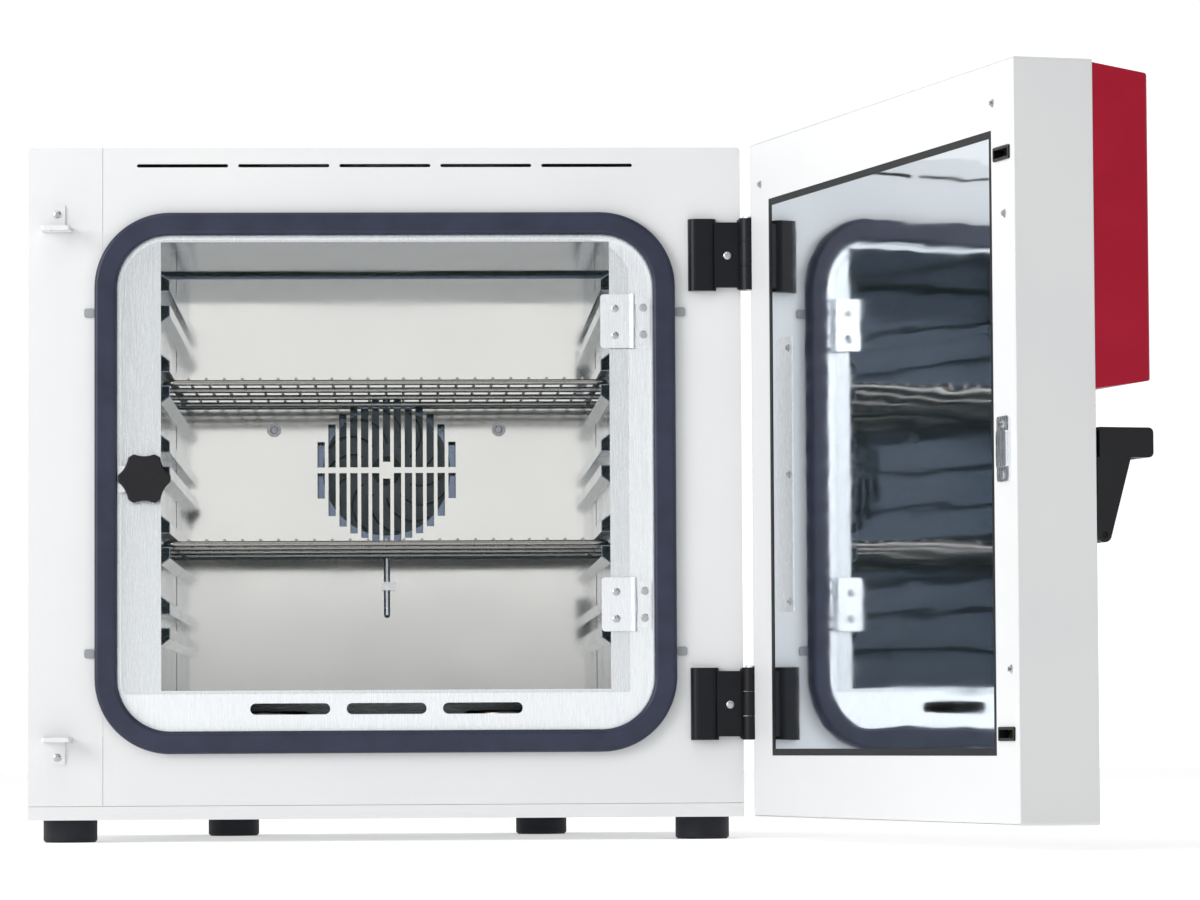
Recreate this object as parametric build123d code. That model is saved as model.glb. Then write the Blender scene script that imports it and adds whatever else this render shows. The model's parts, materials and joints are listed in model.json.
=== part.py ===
from build123d import *
from math import asin, atan2, cos, degrees, hypot, pi, radians, sin, sqrt
import os

# Bench incubator with a forced-air chamber, an inner glass door and an insulated outer door.
# Millimetres. X runs to the hinge side, Y from the cabinet's front face to its back, Z up from the bench.
# The outer door and all it carries are drawn shut and then swung open to the angle they are stored at.

# Cabinet and feet
cabinet_width = 634.0
cabinet_height = 597.0
cabinet_depth = 440.0
casing_sheet = 1.0
corner_radius = 3.0
fascia_sheet = 1.5
seam_gap = 0.3
tray_lip = 12.0
column_width = 66.0
rear_sheet = 0.8
rear_inset = 1.5
foot_height = 20.0
foot_diameter = 48.0
foot_taper = 2.0
front_foot_inset = 35.0
rear_foot_inset = 171.0
front_foot_setback = 42.0
rear_foot_setback = 95.0

# Vent slots in the fascia
vent_count = 5
vent_margin = 92.0
vent_bridge = 9.0
vent_height = 3.0
vent_drop = 16.0

# Chamber and its runner beads
side_wall = 117.0
head_wall = 83.0
back_wall = 95.0
chamber_lift = 114.0
chamber_sheet = 0.8
plenum_depth = 30.0
bead_levels = 5
bead_first = 62.0
bead_last = 50.0
bead_depth = 8.0
bead_flat = 10.0
bead_slope = 6.0
groove_height = 12.0

# Recessed frame between the chamber and the gasket
recess_side = 37.0
recess_below = 35.0
recess_above = 3.5
recess_depth = 14.0
recess_radius = 46.0
frame_sheet = 1.0
intake_count = 3
intake_length = 71.0
intake_pitch = 85.6
intake_height = 10.0
intake_drop = 16.5

# Door gasket
gasket_lap = 1.0
gasket_width = 20.0
gasket_height = 9.2
gasket_round = 3.6
gasket_seat = 6.0
gasket_root = 10.0
flange_margin = 12.0
clip_length = 9.0
clip_height = 8.0
clip_sheet = 1.5
clip_inset = 68.0

# Warm air jacket and insulation
jacket_margin = 8.0
jacket_sheet = 0.8
jacket_back_gap = 14.0
wool_wall = 28.0
wool_back = 21.0
tray_sheet = 1.0
tray_edge = 8.0

# Wire shelves
shelf_clearance = 0.7
shelf_wire = 5.0
shelf_rod = 2.6
shelf_rod_pitch = 16.0
shelf_front_gap = 7.0
shelf_back_gap = 15.0
shelf_seat_gap = 0.3

# Rear baffle, grille and fan
baffle_top_gap = 4.0
baffle_edge_gap = 0.3
grille_radius = 68.0
grille_pitch = 10.4
grille_slot = 7.0
grille_bar = 5.5
grille_hub = 8.0
grille_rise = 213.0
fan_radius = 60.0
fan_eye = 26.0
fan_hub = 14.0
fan_blades = 12
fan_blade = 1.6
fan_sweep = 42.0
fan_depth = 18.0
fan_gap = 4.0
shaft_radius = 4.0
motor_radius = 38.0
motor_depth = 20.0
motor_plate = 2.0
motor_post = 4.0
running_gap = 0.05
free_gap = 0.3

# Heaters and probe
heater_radius = 3.2
heater_bend = 36.0
heater_spread = 110.0
probe_radius = 3.0
probe_length = 68.0
probe_drop = 72.0
probe_stand = 8.0

# Inner glass door
pane_sheet = 4.6
pane_gap = 0.4
pane_edge_gap = 2.0
pane_sill = 3.0
pane_hinge_gap = 4.0
pane_corner = 3.0
pane_relief = 15.0
glass_axis_inset = 16.2
glass_barrel = 2.6
glass_pin = 1.3
glass_leaf = 1.5
glass_leaf_length = 29.0
glass_leaf_height = 48.0
glass_plate_height = 42.0
glass_hinge_rise = 75.0
glass_hinge_drop = 72.0
knob_inset = 21.0
knob_rise = 188.0
knob_radius = 23.3
knob_lobes = 6
knob_waist = 19.8
knob_scallop = 24.0
knob_foot_radius = 12.5
knob_depth = 8.0
knob_foot = 1.0
knob_spindle = 5.0
tongue_width = 13.0
tongue_sheet = 3.0
catch_sheet = 1.0
catch_height = 24.0
catch_lip = 6.0
catch_fold = 1.5

# Outer door
door_thickness = 66.0
door_gap = 9.5
door_sheet = 1.0
door_wool = 30.0
door_corner = 3.0
door_open = 105.0
panel_side = 55.0
panel_head = 59.0
panel_lift = 60.0
panel_sink = 0.8
panel_sheet = 1.0
panel_seal = 6.0
strip_width = 40.0
strip_height = 240.0
strip_lift = 179.0
strip_inset = 52.5
strip_sheet = 0.8
channel_width = 48.0
door_screw_drop = 46.5
door_screw_rise = 51.0
door_screw_upper = 31.0
door_screw_corner = 37.0

# Hinges
hinge_offset = 6.5
hinge_barrel = 8.5
hinge_pin = 3.0
hinge_height = 64.0
hinge_knuckle = 22.0
hinge_drop = 97.0
hinge_lower = 100.0
hinge_block = 25.0
hinge_reach = 53.5
hinge_clear = 0.5
hinge_arm = 6.5
leaf_sheet = 3.0
leaf_length = 40.0

# Latches
latch_inset = 26.0
latch_drop = 73.5
latch_lower = 71.0
striker_width = 26.0
striker_foot = 14.0
striker_thick = 4.0
striker_reach = 25.0
striker_hole = 9.0
guide_width = 33.0
guide_height = 11.0
guide_depth = 6.0
rod_width = 7.0
rod_thick = 6.0
keeper_wall = 3.0
keeper_height = 14.0
keeper_inset = 30.0
rod_depth = 51.0
finger_thick = 6.0
finger_depth = 3.0

# Handle
handle_width = 130.0
handle_depth = 48.0
handle_bar = 23.4
handle_slope = 29.0
handle_gap = 30.0
handle_drop = 84.0
handle_wall = 7.0
handle_skin = 3.5
handle_lip = 10.0
handle_roof = 6.0
handle_apron = 16.0
handle_pivot = 6.3
handle_hub = 5.8
handle_pin = 2.5
crank_length = 20.0
crank_pin = 2.5
crank_sheet = 5.0
handle_swing = 18.0
mount_plate = 2.5
fixing_width = 25.0
fixing_height = 51.0
fixing_sheet = 2.0

# Instrument housing on the outer door
housing_height = 255.0
housing_top_gap = 3.0
housing_top = 176.0
housing_bottom = 128.0
housing_depth = 48.0
housing_draft = 7.0
housing_corner = 16.0
housing_edge = 4.0
housing_wall = 3.0
window_width = 74.0
window_height = 40.0
window_sheet = 2.0
window_drop = 52.0
element_inset = 72.0
button_radius = 5.5
button_pitch = 22.0
button_drop = 96.0
button_proud = 2.0
button_travel = 1.5
rocker_width = 20.0
rocker_radius = 8.5
rocker_stub = 1.5
rocker_proud = 1.0
rocker_dish = 1.2
rocker_drop = 132.0
rocker_tilt = 8.0
dial_radius = 17.0
dial_height = 13.0
dial_drop = 182.0
dial_start = 135.0

# Electronics over the insulation
board_setback = 132.0
board_width = 180.0
board_length = 110.0
board_standoff = 6.0

# Back of the cabinet
duct_bore = 25.0
duct_wall = 1.0
duct_spigot = 12.0
duct_collar = 8.0
duct_inset = 90.0
duct_drop = 137.0
spacer_length = 11.0
spacer_radius = 9.0
inlet_width = 28.0
inlet_height = 22.0
inlet_inset = 87.0
inlet_rise = 60.0

# Fasteners
screw_head = 3.6
screw_height = 1.6
screw_shank = 2.0
screw_gap = 0.1

# Places worked out from the sizes above
half = cabinet_width / 2
bottom = foot_height
top = foot_height + cabinet_height
chamber_width = cabinet_width - 2 * side_wall
chamber_height = cabinet_height - chamber_lift - head_wall
chamber_depth = cabinet_depth - back_wall - recess_depth - frame_sheet
bead_pitch = (chamber_height - bead_first - bead_last) / (bead_levels - 1)
vent_pitch = (cabinet_width - 2 * vent_margin) / vent_count
vent_length = vent_pitch - vent_bridge
floor = bottom + chamber_lift
ceiling = floor + chamber_height
chamber_half = chamber_width / 2
recess_half = chamber_half + recess_side
recess_low = floor - recess_below
recess_high = ceiling + recess_above
chamber_front = recess_depth + frame_sheet
baffle_y = chamber_front + chamber_depth
plenum_y = baffle_y + plenum_depth
chamber_back = plenum_y + chamber_sheet
jacket_y = chamber_back + jacket_back_gap
jacket_back = jacket_y + jacket_sheet
wool_y = jacket_back + wool_back
wool_margin = jacket_margin + free_gap + wool_wall
wool_high = recess_high + wool_margin
rear_y = cabinet_depth - rear_inset
fan_z = floor + grille_rise
hinge_x = half + hinge_offset
door_face = -door_gap
door_front = door_face - door_thickness
panel_face = door_face - panel_sink
panel_width = cabinet_width - 2 * panel_side
panel_height = cabinet_height - panel_lift - panel_head
hinge_upper = cabinet_height - hinge_drop
latch_upper = cabinet_height - latch_drop
panel_z = bottom + panel_lift + panel_height / 2
glass_y = recess_depth - pane_gap - pane_sheet
glass_axis_x = recess_half - glass_axis_inset
glass_axis_y = glass_y - glass_leaf - glass_barrel / 2
latch_x = latch_inset - half
housing_z = top - housing_top_gap
housing_face = door_front - housing_depth
handle_z = housing_z - housing_height - handle_gap
pivot_z = handle_z - handle_drop
pivot_y = door_front - handle_pivot
duct_x = chamber_half - duct_inset
duct_z = top - duct_drop
inlet_x = inlet_inset - half


def block(x0, x1, y0, y1, z0, z1):
    """A box between two opposite corners."""
    return Pos((x0 + x1) / 2, (y0 + y1) / 2, (z0 + z1) / 2) * Box(x1 - x0, y1 - y0, z1 - z0)


def facing(sketch, y0, y1):
    """An outline drawn in X and Z, made solid from y0 to y1."""
    return extrude(Plane.XZ.offset(-y1) * sketch, amount=y1 - y0)


def sideways(sketch, x0, x1):
    """An outline drawn in Y and Z, made solid from x0 to x1."""
    return extrude(Plane.YZ.offset(x0) * sketch, amount=x1 - x0)


def upright(sketch, z0, z1):
    """An outline drawn in X and Y, made solid from z0 to z1."""
    return extrude(Plane.XY.offset(z0) * sketch, amount=z1 - z0)


def rod_y(x, z, y0, y1, radius):
    """A round bar along Y."""
    return facing(Pos(x, z) * Circle(radius), y0, y1)


def rod_x(y, z, x0, x1, radius):
    """A round bar along X."""
    return sideways(Pos(y, z) * Circle(radius), x0, x1)


def rod_z(x, y, z0, z1, radius):
    """A round bar along Z."""
    return upright(Pos(x, y) * Circle(radius), z0, z1)


def slot_y(x, z, length, height, y0, y1):
    """A round-ended slot that runs along X, cut from y0 to y1."""
    return facing(Pos(x, z) * SlotOverall(length, height), y0, y1)


def frame_outline(margin):
    """The recess outline grown by a margin, with its corners kept parallel."""
    width = 2 * (recess_half + margin)
    height = recess_high - recess_low + 2 * margin
    middle = (recess_high + recess_low) / 2
    return Pos(0, middle) * RectangleRounded(width, height, recess_radius + margin)


def spread(count, pitch):
    """Evenly spaced places about a middle."""
    return [(i - (count - 1) / 2) * pitch for i in range(count)]


def pan_screw(x, y, z, grip):
    """A pan-head screw that goes in along +Y, with its head in front of the face at y."""
    head = rod_y(x, z, y - screw_height, y, screw_head)
    head = fillet(head.edges().group_by(Axis.Y)[0], screw_height * 0.6)
    drive = block(x - screw_head * 0.6, x + screw_head * 0.6, y - screw_height, y - screw_height * 0.6,
                  z - screw_height * 0.25, z + screw_height * 0.25)
    return head - drive + rod_y(x, z, y, y + grip, screw_shank)


def swung(shape):
    """The outer door's pieces, from shut to the angle they are stored at."""
    return shape.rotate(Axis((hinge_x, door_face, 0), (0, 0, 1)), door_open)


# Cabinet shell

def outer_casing():
    outline = Pos(0, (top + bottom) / 2) * Rectangle(cabinet_width, cabinet_height)
    outline = fillet(outline.vertices().group_by(Axis.Y)[-1], corner_radius)
    inside = Pos(0, (top + bottom) / 2 - casing_sheet) * Rectangle(
        cabinet_width - 2 * casing_sheet, cabinet_height)
    inside = fillet(inside.vertices().group_by(Axis.Y)[-1], corner_radius - casing_sheet)
    return facing(outline - inside, fascia_sheet, cabinet_depth)


def foot_places():
    front = [(side * (half - front_foot_inset), front_foot_setback) for side in (-1, 1)]
    rear = [(side * (half - rear_foot_inset), cabinet_depth - rear_foot_setback) for side in (-1, 1)]
    return front + rear


def base_panel():
    inner = half - casing_sheet - seam_gap
    tray = block(-inner, inner, fascia_sheet, rear_y - rear_sheet, bottom, bottom + casing_sheet)
    lip = block(-half, half, 0, fascia_sheet, bottom, bottom + tray_lip)
    tray += lip
    for x, y in foot_places():
        tray -= rod_z(x, y, bottom - 1, bottom + casing_sheet + 1, screw_shank + screw_gap)
    return tray


def fascia_blank():
    low = bottom + tray_lip + seam_gap
    blank = Pos(0, (top + low) / 2) * Rectangle(cabinet_width, top - low)
    blank = fillet(blank.vertices().group_by(Axis.Y)[-1], corner_radius)
    opening = frame_outline(gasket_lap + gasket_width - gasket_seat)
    return facing(blank - opening, 0, fascia_sheet)


def hinge_screw_places():
    x = hinge_x - (hinge_reach - hinge_block + hinge_barrel) / 2
    return [(x, bottom + hinge_upper), (x, bottom + hinge_lower)]


def striker_sides():
    """The upper striker's foot stands above its tongue, the lower one's hangs below it."""
    return (latch_upper, 1), (latch_lower, -1)


def striker_screw_places():
    rise = striker_thick + 3 * screw_head
    return [(latch_x, bottom + level + side * rise) for level, side in striker_sides()]


def front_fascia():
    """The right-hand part of the front: top band with its vent slots, hinge column and bottom band."""
    seam = column_width - half
    plate = fascia_blank() & block(seam + seam_gap, half, 0, fascia_sheet, bottom, top)
    for x in spread(vent_count, vent_pitch):
        plate -= slot_y(x, top - vent_drop, vent_length, vent_height, -1, fascia_sheet + 1)
    for x, z in hinge_screw_places():
        plate -= rod_y(x, z, -1, fascia_sheet + 1, screw_shank + screw_gap)
    return plate


def left_column_cover():
    """The separate strip on the latch side, which carries both strikers."""
    seam = column_width - half
    plate = fascia_blank() & block(-half, seam, 0, fascia_sheet, bottom, top)
    for x, z in striker_screw_places():
        plate -= rod_y(x, z, -1, fascia_sheet + 1, screw_shank + screw_gap)
    return plate


def rear_panel():
    inner = half - casing_sheet - seam_gap
    high = top - casing_sheet - seam_gap
    outline = Pos(0, (high + bottom) / 2) * Rectangle(2 * inner, high - bottom)
    outline = fillet(outline.vertices().group_by(Axis.Y)[-1], corner_radius)
    panel = facing(outline, rear_y - rear_sheet, rear_y)
    through = (rear_y - rear_sheet - 1, rear_y + 1)
    panel -= rod_y(*duct_place(), *through, duct_bore + duct_wall + free_gap)
    for x in (-vent_pitch, 0, vent_pitch):
        for row in range(3):
            panel -= slot_y(x, high - 24 - 10 * row, vent_length * 0.85, 4, *through)
        for row in range(5):
            panel -= slot_y(x, fan_z - 20 - 10 * row, vent_length * 0.85, 4, *through)
    inlet_z = bottom + inlet_rise
    panel -= block(inlet_x - inlet_width / 2, inlet_x + inlet_width / 2, *through,
                   inlet_z - inlet_height / 2, inlet_z + inlet_height / 2)
    for x, z in rear_screw_places():
        panel -= rod_y(x, z, *through, screw_shank + screw_gap)
    return panel


def rear_screw_places():
    return [(x, z) for x in (-half + 18, half - 18) for z in (bottom + 18, (bottom + top) / 2, top - 18)]


def feet():
    """Rubber feet, each with a tapered skirt and a stub that locates it in the base."""
    group = []
    for x, y in foot_places():
        foot = Pos(x, y, foot_height / 2) * Cylinder(foot_diameter / 2, foot_height)
        foot = chamfer(foot.edges().group_by(Axis.Z)[0], foot_taper)
        group.append(foot + rod_z(x, y, foot_height, foot_height + casing_sheet * 2, screw_shank))
    return Compound(group)


# Chamber and what surrounds it

def side_profile():
    """The beaded right-hand wall line from floor to ceiling, seen from the front."""
    points = [(chamber_half, floor)]
    inner = chamber_half - bead_depth
    for level in range(bead_levels):
        middle = floor + bead_first + level * bead_pitch
        ledge = middle - groove_height / 2
        roof = middle + groove_height / 2
        points += [(chamber_half, ledge - bead_flat - bead_slope), (inner, ledge - bead_flat)]
        points += [(inner, ledge), (chamber_half, ledge)]
        points += [(chamber_half, roof), (inner, roof)]
        points += [(inner, roof + bead_flat), (chamber_half, roof + bead_flat + bead_slope)]
    return points + [(chamber_half, ceiling)]


def closed_line(points):
    return make_face(Polyline(*points, close=True))


def duct_place():
    return duct_x, duct_z


def inner_chamber():
    """Polished box: beaded side walls, then a plain stretch behind the baffle, closed by a back wall."""
    right = side_profile()
    cavity = closed_line(right + [(-x, z) for x, z in reversed(right)])
    skin = offset(cavity, amount=chamber_sheet, kind=Kind.INTERSECTION)
    beaded = facing(skin - cavity, chamber_front, baffle_y)
    plain = Pos(0, (floor + ceiling) / 2) * Rectangle(chamber_width, chamber_height)
    sleeve = Pos(0, (floor + ceiling) / 2) * Rectangle(
        chamber_width + 2 * chamber_sheet, chamber_height + 2 * chamber_sheet)
    step = facing(plain - cavity, baffle_y - chamber_sheet, baffle_y)
    back = facing(sleeve, plenum_y, chamber_back)
    box = beaded + step + facing(sleeve - plain, baffle_y - chamber_sheet, plenum_y) + back
    box -= rod_y(0, fan_z, plenum_y - 1, chamber_back + 1, shaft_radius + 1)
    box -= rod_y(*duct_place(), plenum_y - 1, chamber_back + 1, duct_bore + duct_wall + free_gap)
    return box


def inner_frame():
    """Pressed frame: a flange under the gasket, a step back, and the face that the glass shuts on."""
    flange = frame_outline(gasket_lap + gasket_width + flange_margin)
    ring = facing(flange - frame_outline(frame_sheet), fascia_sheet, fascia_sheet + frame_sheet)
    wall = facing(frame_outline(frame_sheet) - frame_outline(0), fascia_sheet, chamber_front)
    mouth = Pos(0, (floor + ceiling) / 2) * Rectangle(chamber_width, chamber_height)
    face = facing(frame_outline(frame_sheet) - mouth, recess_depth, chamber_front)
    frame = ring + wall + face
    for x in spread(intake_count, intake_pitch):
        frame -= slot_y(x, floor - intake_drop, intake_length, intake_height, recess_depth - 1, chamber_front + 1)
    return frame


def jacket_shell():
    outer = frame_outline(jacket_margin)
    inner = frame_outline(jacket_margin - jacket_sheet)
    shell = facing(outer - inner, fascia_sheet + frame_sheet, jacket_y) + facing(outer, jacket_y, jacket_back)
    through = (jacket_y - 1, jacket_back + 1)
    shell -= rod_y(0, fan_z, *through, shaft_radius + 1)
    shell -= rod_y(*duct_place(), *through, duct_bore + duct_wall + free_gap)
    for x, z in heater_ends():
        shell -= rod_y(x, z, *through, heater_radius + free_gap)
    return shell


def insulation():
    """Mineral wool round the jacket and behind it."""
    front = fascia_sheet + frame_sheet + free_gap
    wool = facing(frame_outline(wool_margin), front, wool_y)
    wool -= facing(frame_outline(jacket_margin + free_gap), front - 1, jacket_back + free_gap)
    through = (jacket_back - 1, wool_y + 1)
    wool -= rod_y(0, fan_z, *through, shaft_radius + 3)
    wool -= rod_y(*duct_place(), *through, duct_bore + duct_wall + free_gap)
    for x, z in heater_ends() + motor_posts():
        wool -= rod_y(x, z, *through, motor_post + free_gap)
    return wool


def heater_height():
    return (floor + recess_low - jacket_margin) / 2


def heater_ends():
    z = heater_height()
    return [(x + side * heater_bend, z) for x in (-heater_spread, heater_spread) for side in (-1, 1)]


def heater_elements():
    """Two hairpin heaters under the chamber floor, with their ends through the back of the jacket."""
    z = heater_height()
    bend_y = chamber_front + heater_bend + 12
    group = []
    for x in (-heater_spread, heater_spread):
        left = Line((x - heater_bend, wool_y + 6, z), (x - heater_bend, bend_y, z))
        bend = ThreePointArc((x - heater_bend, bend_y, z), (x, bend_y - heater_bend, z), (x + heater_bend, bend_y, z))
        right = Line((x + heater_bend, bend_y, z), (x + heater_bend, wool_y + 6, z))
        path = left + bend + right
        section = Plane(path @ 0, z_dir=path % 0) * Circle(heater_radius)
        group.append(sweep(section, path=path))
    return Compound(group)


# Baffle, fan and probe

def baffle_screw_places():
    return [(side * grille_radius * 1.574, fan_z + grille_radius * 0.568) for side in (-1, 1)]


def rear_baffle():
    """Polished back plate with the stepped round grille in front of the fan."""
    edge = chamber_half - baffle_edge_gap
    plate = block(-edge, edge, baffle_y, baffle_y + chamber_sheet, floor + baffle_edge_gap, ceiling - baffle_top_gap)
    through = (baffle_y - 1, baffle_y + chamber_sheet + 1)
    columns = int(grille_radius / grille_pitch)
    for i in range(-columns, columns + 1):
        x = i * grille_pitch
        reach = sqrt(grille_radius ** 2 - x ** 2)
        start = grille_bar / 2
        if abs(x) < grille_hub:
            start = grille_hub
        for side in (-1, 1):
            ends = sorted((fan_z + side * start, fan_z + side * reach))
            plate -= block(x - grille_slot / 2, x + grille_slot / 2, *through, *ends)
    for x, z in baffle_screw_places():
        plate -= rod_y(x, z, *through, screw_shank + screw_gap)
    plate -= rod_y(0, floor + probe_place()[1], *through, probe_radius + free_gap)
    return plate


def baffle_screws():
    """Screws with a dished washer, each on a post from the chamber's back wall."""
    group = []
    for x, z in baffle_screw_places():
        washer = rod_y(x, z, baffle_y - screw_height / 2, baffle_y, screw_head * 1.9)
        post = rod_y(x, z, baffle_y + chamber_sheet, plenum_y, screw_head)
        group.append(washer + pan_screw(x, baffle_y - screw_height / 2, z, chamber_sheet + screw_height) + post)
    return Compound(group)


def blade_outline(angle):
    """A backward-curved blade between two arcs, from the fan's eye to its rim."""
    turn = radians(angle)
    sweep_back = radians(fan_sweep)
    start = (fan_eye * cos(turn), fan_eye * sin(turn))
    end = (fan_radius * cos(turn + sweep_back), fan_radius * sin(turn + sweep_back))
    middle_radius = (fan_eye + fan_radius) / 2
    lean = turn + sweep_back * 0.28
    middle = (middle_radius * cos(lean), middle_radius * sin(lean))
    return trace(ThreePointArc(start, middle, end), fan_blade)


def fan_impeller():
    """Radial impeller: back plate, curved blades, hub and the shaft that runs into the motor."""
    front = baffle_y + chamber_sheet + fan_gap
    back = front + fan_depth
    blades = Sketch() + [blade_outline(i * 360 / fan_blades) for i in range(fan_blades)]
    wheel = facing(Pos(0, fan_z) * blades, front, back)
    wheel += rod_y(0, fan_z, back, back + fan_blade, fan_radius + 1)
    wheel += rod_y(0, fan_z, front + fan_depth / 3, back, fan_hub)
    return wheel + rod_y(0, fan_z, front + 2, wool_y + motor_plate + motor_depth * 0.6, shaft_radius)


def motor_posts():
    reach = motor_radius * 1.1
    return [(x * reach, fan_z + z * reach) for x in (-1, 1) for z in (-1, 1)]


def fan_motor():
    """Motor can on a plate that stands on four posts from the back of the jacket."""
    reach = motor_radius * 1.1 + motor_post * 2
    plate = facing(Pos(0, fan_z) * RectangleRounded(2 * reach, 2 * reach, motor_post * 2),
                   wool_y, wool_y + motor_plate)
    can = rod_y(0, fan_z, wool_y + motor_plate, wool_y + motor_plate + motor_depth, motor_radius)
    can = fillet(can.edges().group_by(Axis.Y)[-1], 3)
    motor = plate + can
    for x, z in motor_posts():
        motor += rod_y(x, z, jacket_back, wool_y, motor_post)
    bore_end = wool_y + motor_plate + motor_depth * 0.6 + 1
    return motor - rod_y(0, fan_z, wool_y - 1, bore_end, shaft_radius + running_gap)


def probe_place():
    """Where the probe leaves the baffle: Y of its stem and height above the chamber floor."""
    return baffle_y - probe_stand, probe_length + probe_drop


def temperature_probe():
    """Sensor stem that hangs in front of the baffle, with the clip that holds it."""
    y, rise = probe_place()
    exit_z = floor + rise
    turn_z = exit_z - probe_stand
    low_z = floor + probe_drop
    stem = Line((0, baffle_y + chamber_sheet + 2, exit_z), (0, baffle_y - probe_stand * 0.1, exit_z))
    elbow = ThreePointArc(stem @ 1, (0, y + probe_stand * 0.264, exit_z - probe_stand * 0.264),
                          (0, y, exit_z - probe_stand * 0.9))
    drop = Line(elbow @ 1, (0, y, low_z + probe_radius))
    path = stem + elbow + drop
    section = Plane(path @ 0, z_dir=path % 0) * Circle(probe_radius)
    probe = sweep(section, path=path) + Pos(0, y, low_z + probe_radius) * Sphere(probe_radius)
    clip_z = (turn_z + low_z) / 2
    clip = block(-probe_radius - 2, probe_radius + 5, y - probe_radius - 1.5, baffle_y, clip_z - 4, clip_z + 4)
    clip -= rod_z(0, y, clip_z - 5, clip_z + 5, probe_radius + running_gap)
    return Compound([probe, clip])


def wire_shelf(level):
    """A welded rack: a rim of thick wire, two cross bars and thin rods from front to back."""
    wire = shelf_wire / 2
    rod = shelf_rod / 2
    side = chamber_half - shelf_clearance - wire
    front = chamber_front + shelf_front_gap + wire
    back = baffle_y - shelf_back_gap - wire
    z = floor + bead_first + level * bead_pitch - groove_height / 2 + shelf_seat_gap + wire
    rim = Pos(0, (front + back) / 2) * RectangleRounded(2 * side, back - front, shelf_wire * 2)
    path = Pos(0, 0, z) * rim.wire()
    shelf = sweep(Plane(path @ 0, z_dir=path % 0) * Circle(wire), path=path)
    for share in (1 / 3, 2 / 3):
        shelf += rod_x(front + (back - front) * share, z, -side, side, wire)
    count = int((2 * side - shelf_wire) / shelf_rod_pitch) - 1
    for x in spread(count, shelf_rod_pitch):
        shelf += rod_y(x, z + wire + rod * 0.6, front - wire * 0.5, back + wire * 0.5, rod)
    return shelf


# Gasket and cabinet fittings

def door_gasket():
    """Rubber profile round the recess, drawn as squeezed as the shut door leaves it."""
    outer = gasket_lap + gasket_width
    bead = facing(frame_outline(outer) - frame_outline(gasket_lap), -gasket_height, 0)
    bead = fillet(bead.edges().group_by(Axis.Y)[0], gasket_round)
    seat = outer - gasket_seat - seam_gap
    root = facing(frame_outline(seat) - frame_outline(seat - gasket_root), 0, fascia_sheet)
    return bead + root


def gasket_clips():
    outer = recess_half + gasket_lap + gasket_width + free_gap
    group = []
    for z in (recess_low + clip_inset, recess_high - clip_inset):
        for side in (-1, 1):
            ends = sorted((side * outer, side * (outer + clip_length)))
            clip = block(*ends, -clip_sheet, 0, z - clip_height / 2, z + clip_height / 2)
            group.append(fillet(clip.edges().filter_by(Axis.Y), clip_height / 4))
    return Compound(group)


def striker(level, side):
    """A broad tongue folded out of a narrow foot, with the hole that the latch finger drops into."""
    z = bottom + level
    ends = sorted((z - side * striker_thick / 2, z + side * (striker_thick + 5 * screw_head)))
    foot = Pos(latch_x, sum(ends) / 2) * RectangleRounded(striker_foot, ends[1] - ends[0], 2)
    body = facing(foot, -screw_height, 0)
    tongue = block(latch_x - striker_width / 2, latch_x + striker_width / 2, -striker_reach, -screw_height / 2,
                   z - striker_thick / 2, z + striker_thick / 2)
    tongue = fillet(tongue.edges().filter_by(Axis.Z).group_by(Axis.Y)[0], 3)
    hole_y = finger_y()
    hole = block(latch_x - striker_hole / 2, latch_x + striker_hole / 2,
                 hole_y - striker_hole / 2, hole_y + striker_hole / 2, z - striker_thick, z + striker_thick)
    screw_z = z + side * (striker_thick + 3 * screw_head)
    return body + tongue - hole - rod_y(latch_x, screw_z, -striker_reach, 1, screw_shank + screw_gap)


def latch_strikers():
    return Compound([striker(level, side) for level, side in striker_sides()])


def cabinet_screws():
    hinges = [pan_screw(x, -hinge_arm, z, hinge_arm + fascia_sheet) for x, z in hinge_screw_places()]
    strikers = [pan_screw(x, -screw_height, z, screw_height + fascia_sheet) for x, z in striker_screw_places()]
    return Compound(hinges + strikers)


# Hinges of the outer door

def knuckle(z0, z1):
    ring = Pos(hinge_x, door_face) * Circle(hinge_barrel)
    return upright(ring, z0, z1)


def hinge_bracket(level):
    """Cabinet half: a rounded block beside the gasket, a flat arm, and the outer pair of knuckles."""
    z = bottom + level
    low = z - hinge_height / 2
    high = z + hinge_height / 2
    left = hinge_x - hinge_reach
    height = door_gap - hinge_clear
    cap = Pos(left + hinge_block / 2, -height / 2) * Rectangle(hinge_block, height)
    cap = fillet(cap.vertices().group_by(Axis.Y)[0], height * 0.8)
    body = upright(cap, low, high)
    arm_right = hinge_x - hinge_barrel + 2
    body += block(left + hinge_block - 2, arm_right, -hinge_arm, 0, low + 3, high - 3)
    for z0, z1 in ((low, z - hinge_knuckle / 2), (z + hinge_knuckle / 2, high)):
        body += knuckle(z0, z1)
        body += block(arm_right - 3, hinge_x, -hinge_arm, -hinge_clear * 2, z0 + 1, z1 - 1)
    body -= rod_z(hinge_x, door_face, z - hinge_knuckle / 2, z + hinge_knuckle / 2, hinge_barrel + free_gap)
    body -= rod_z(hinge_x, door_face, low - 1, high + 1, hinge_pin + running_gap / 2)
    screw_x, screw_z = hinge_screw_places()[0][0], z
    return body - rod_y(screw_x, screw_z, -hinge_barrel * 2, 1, screw_shank + screw_gap)


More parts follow.
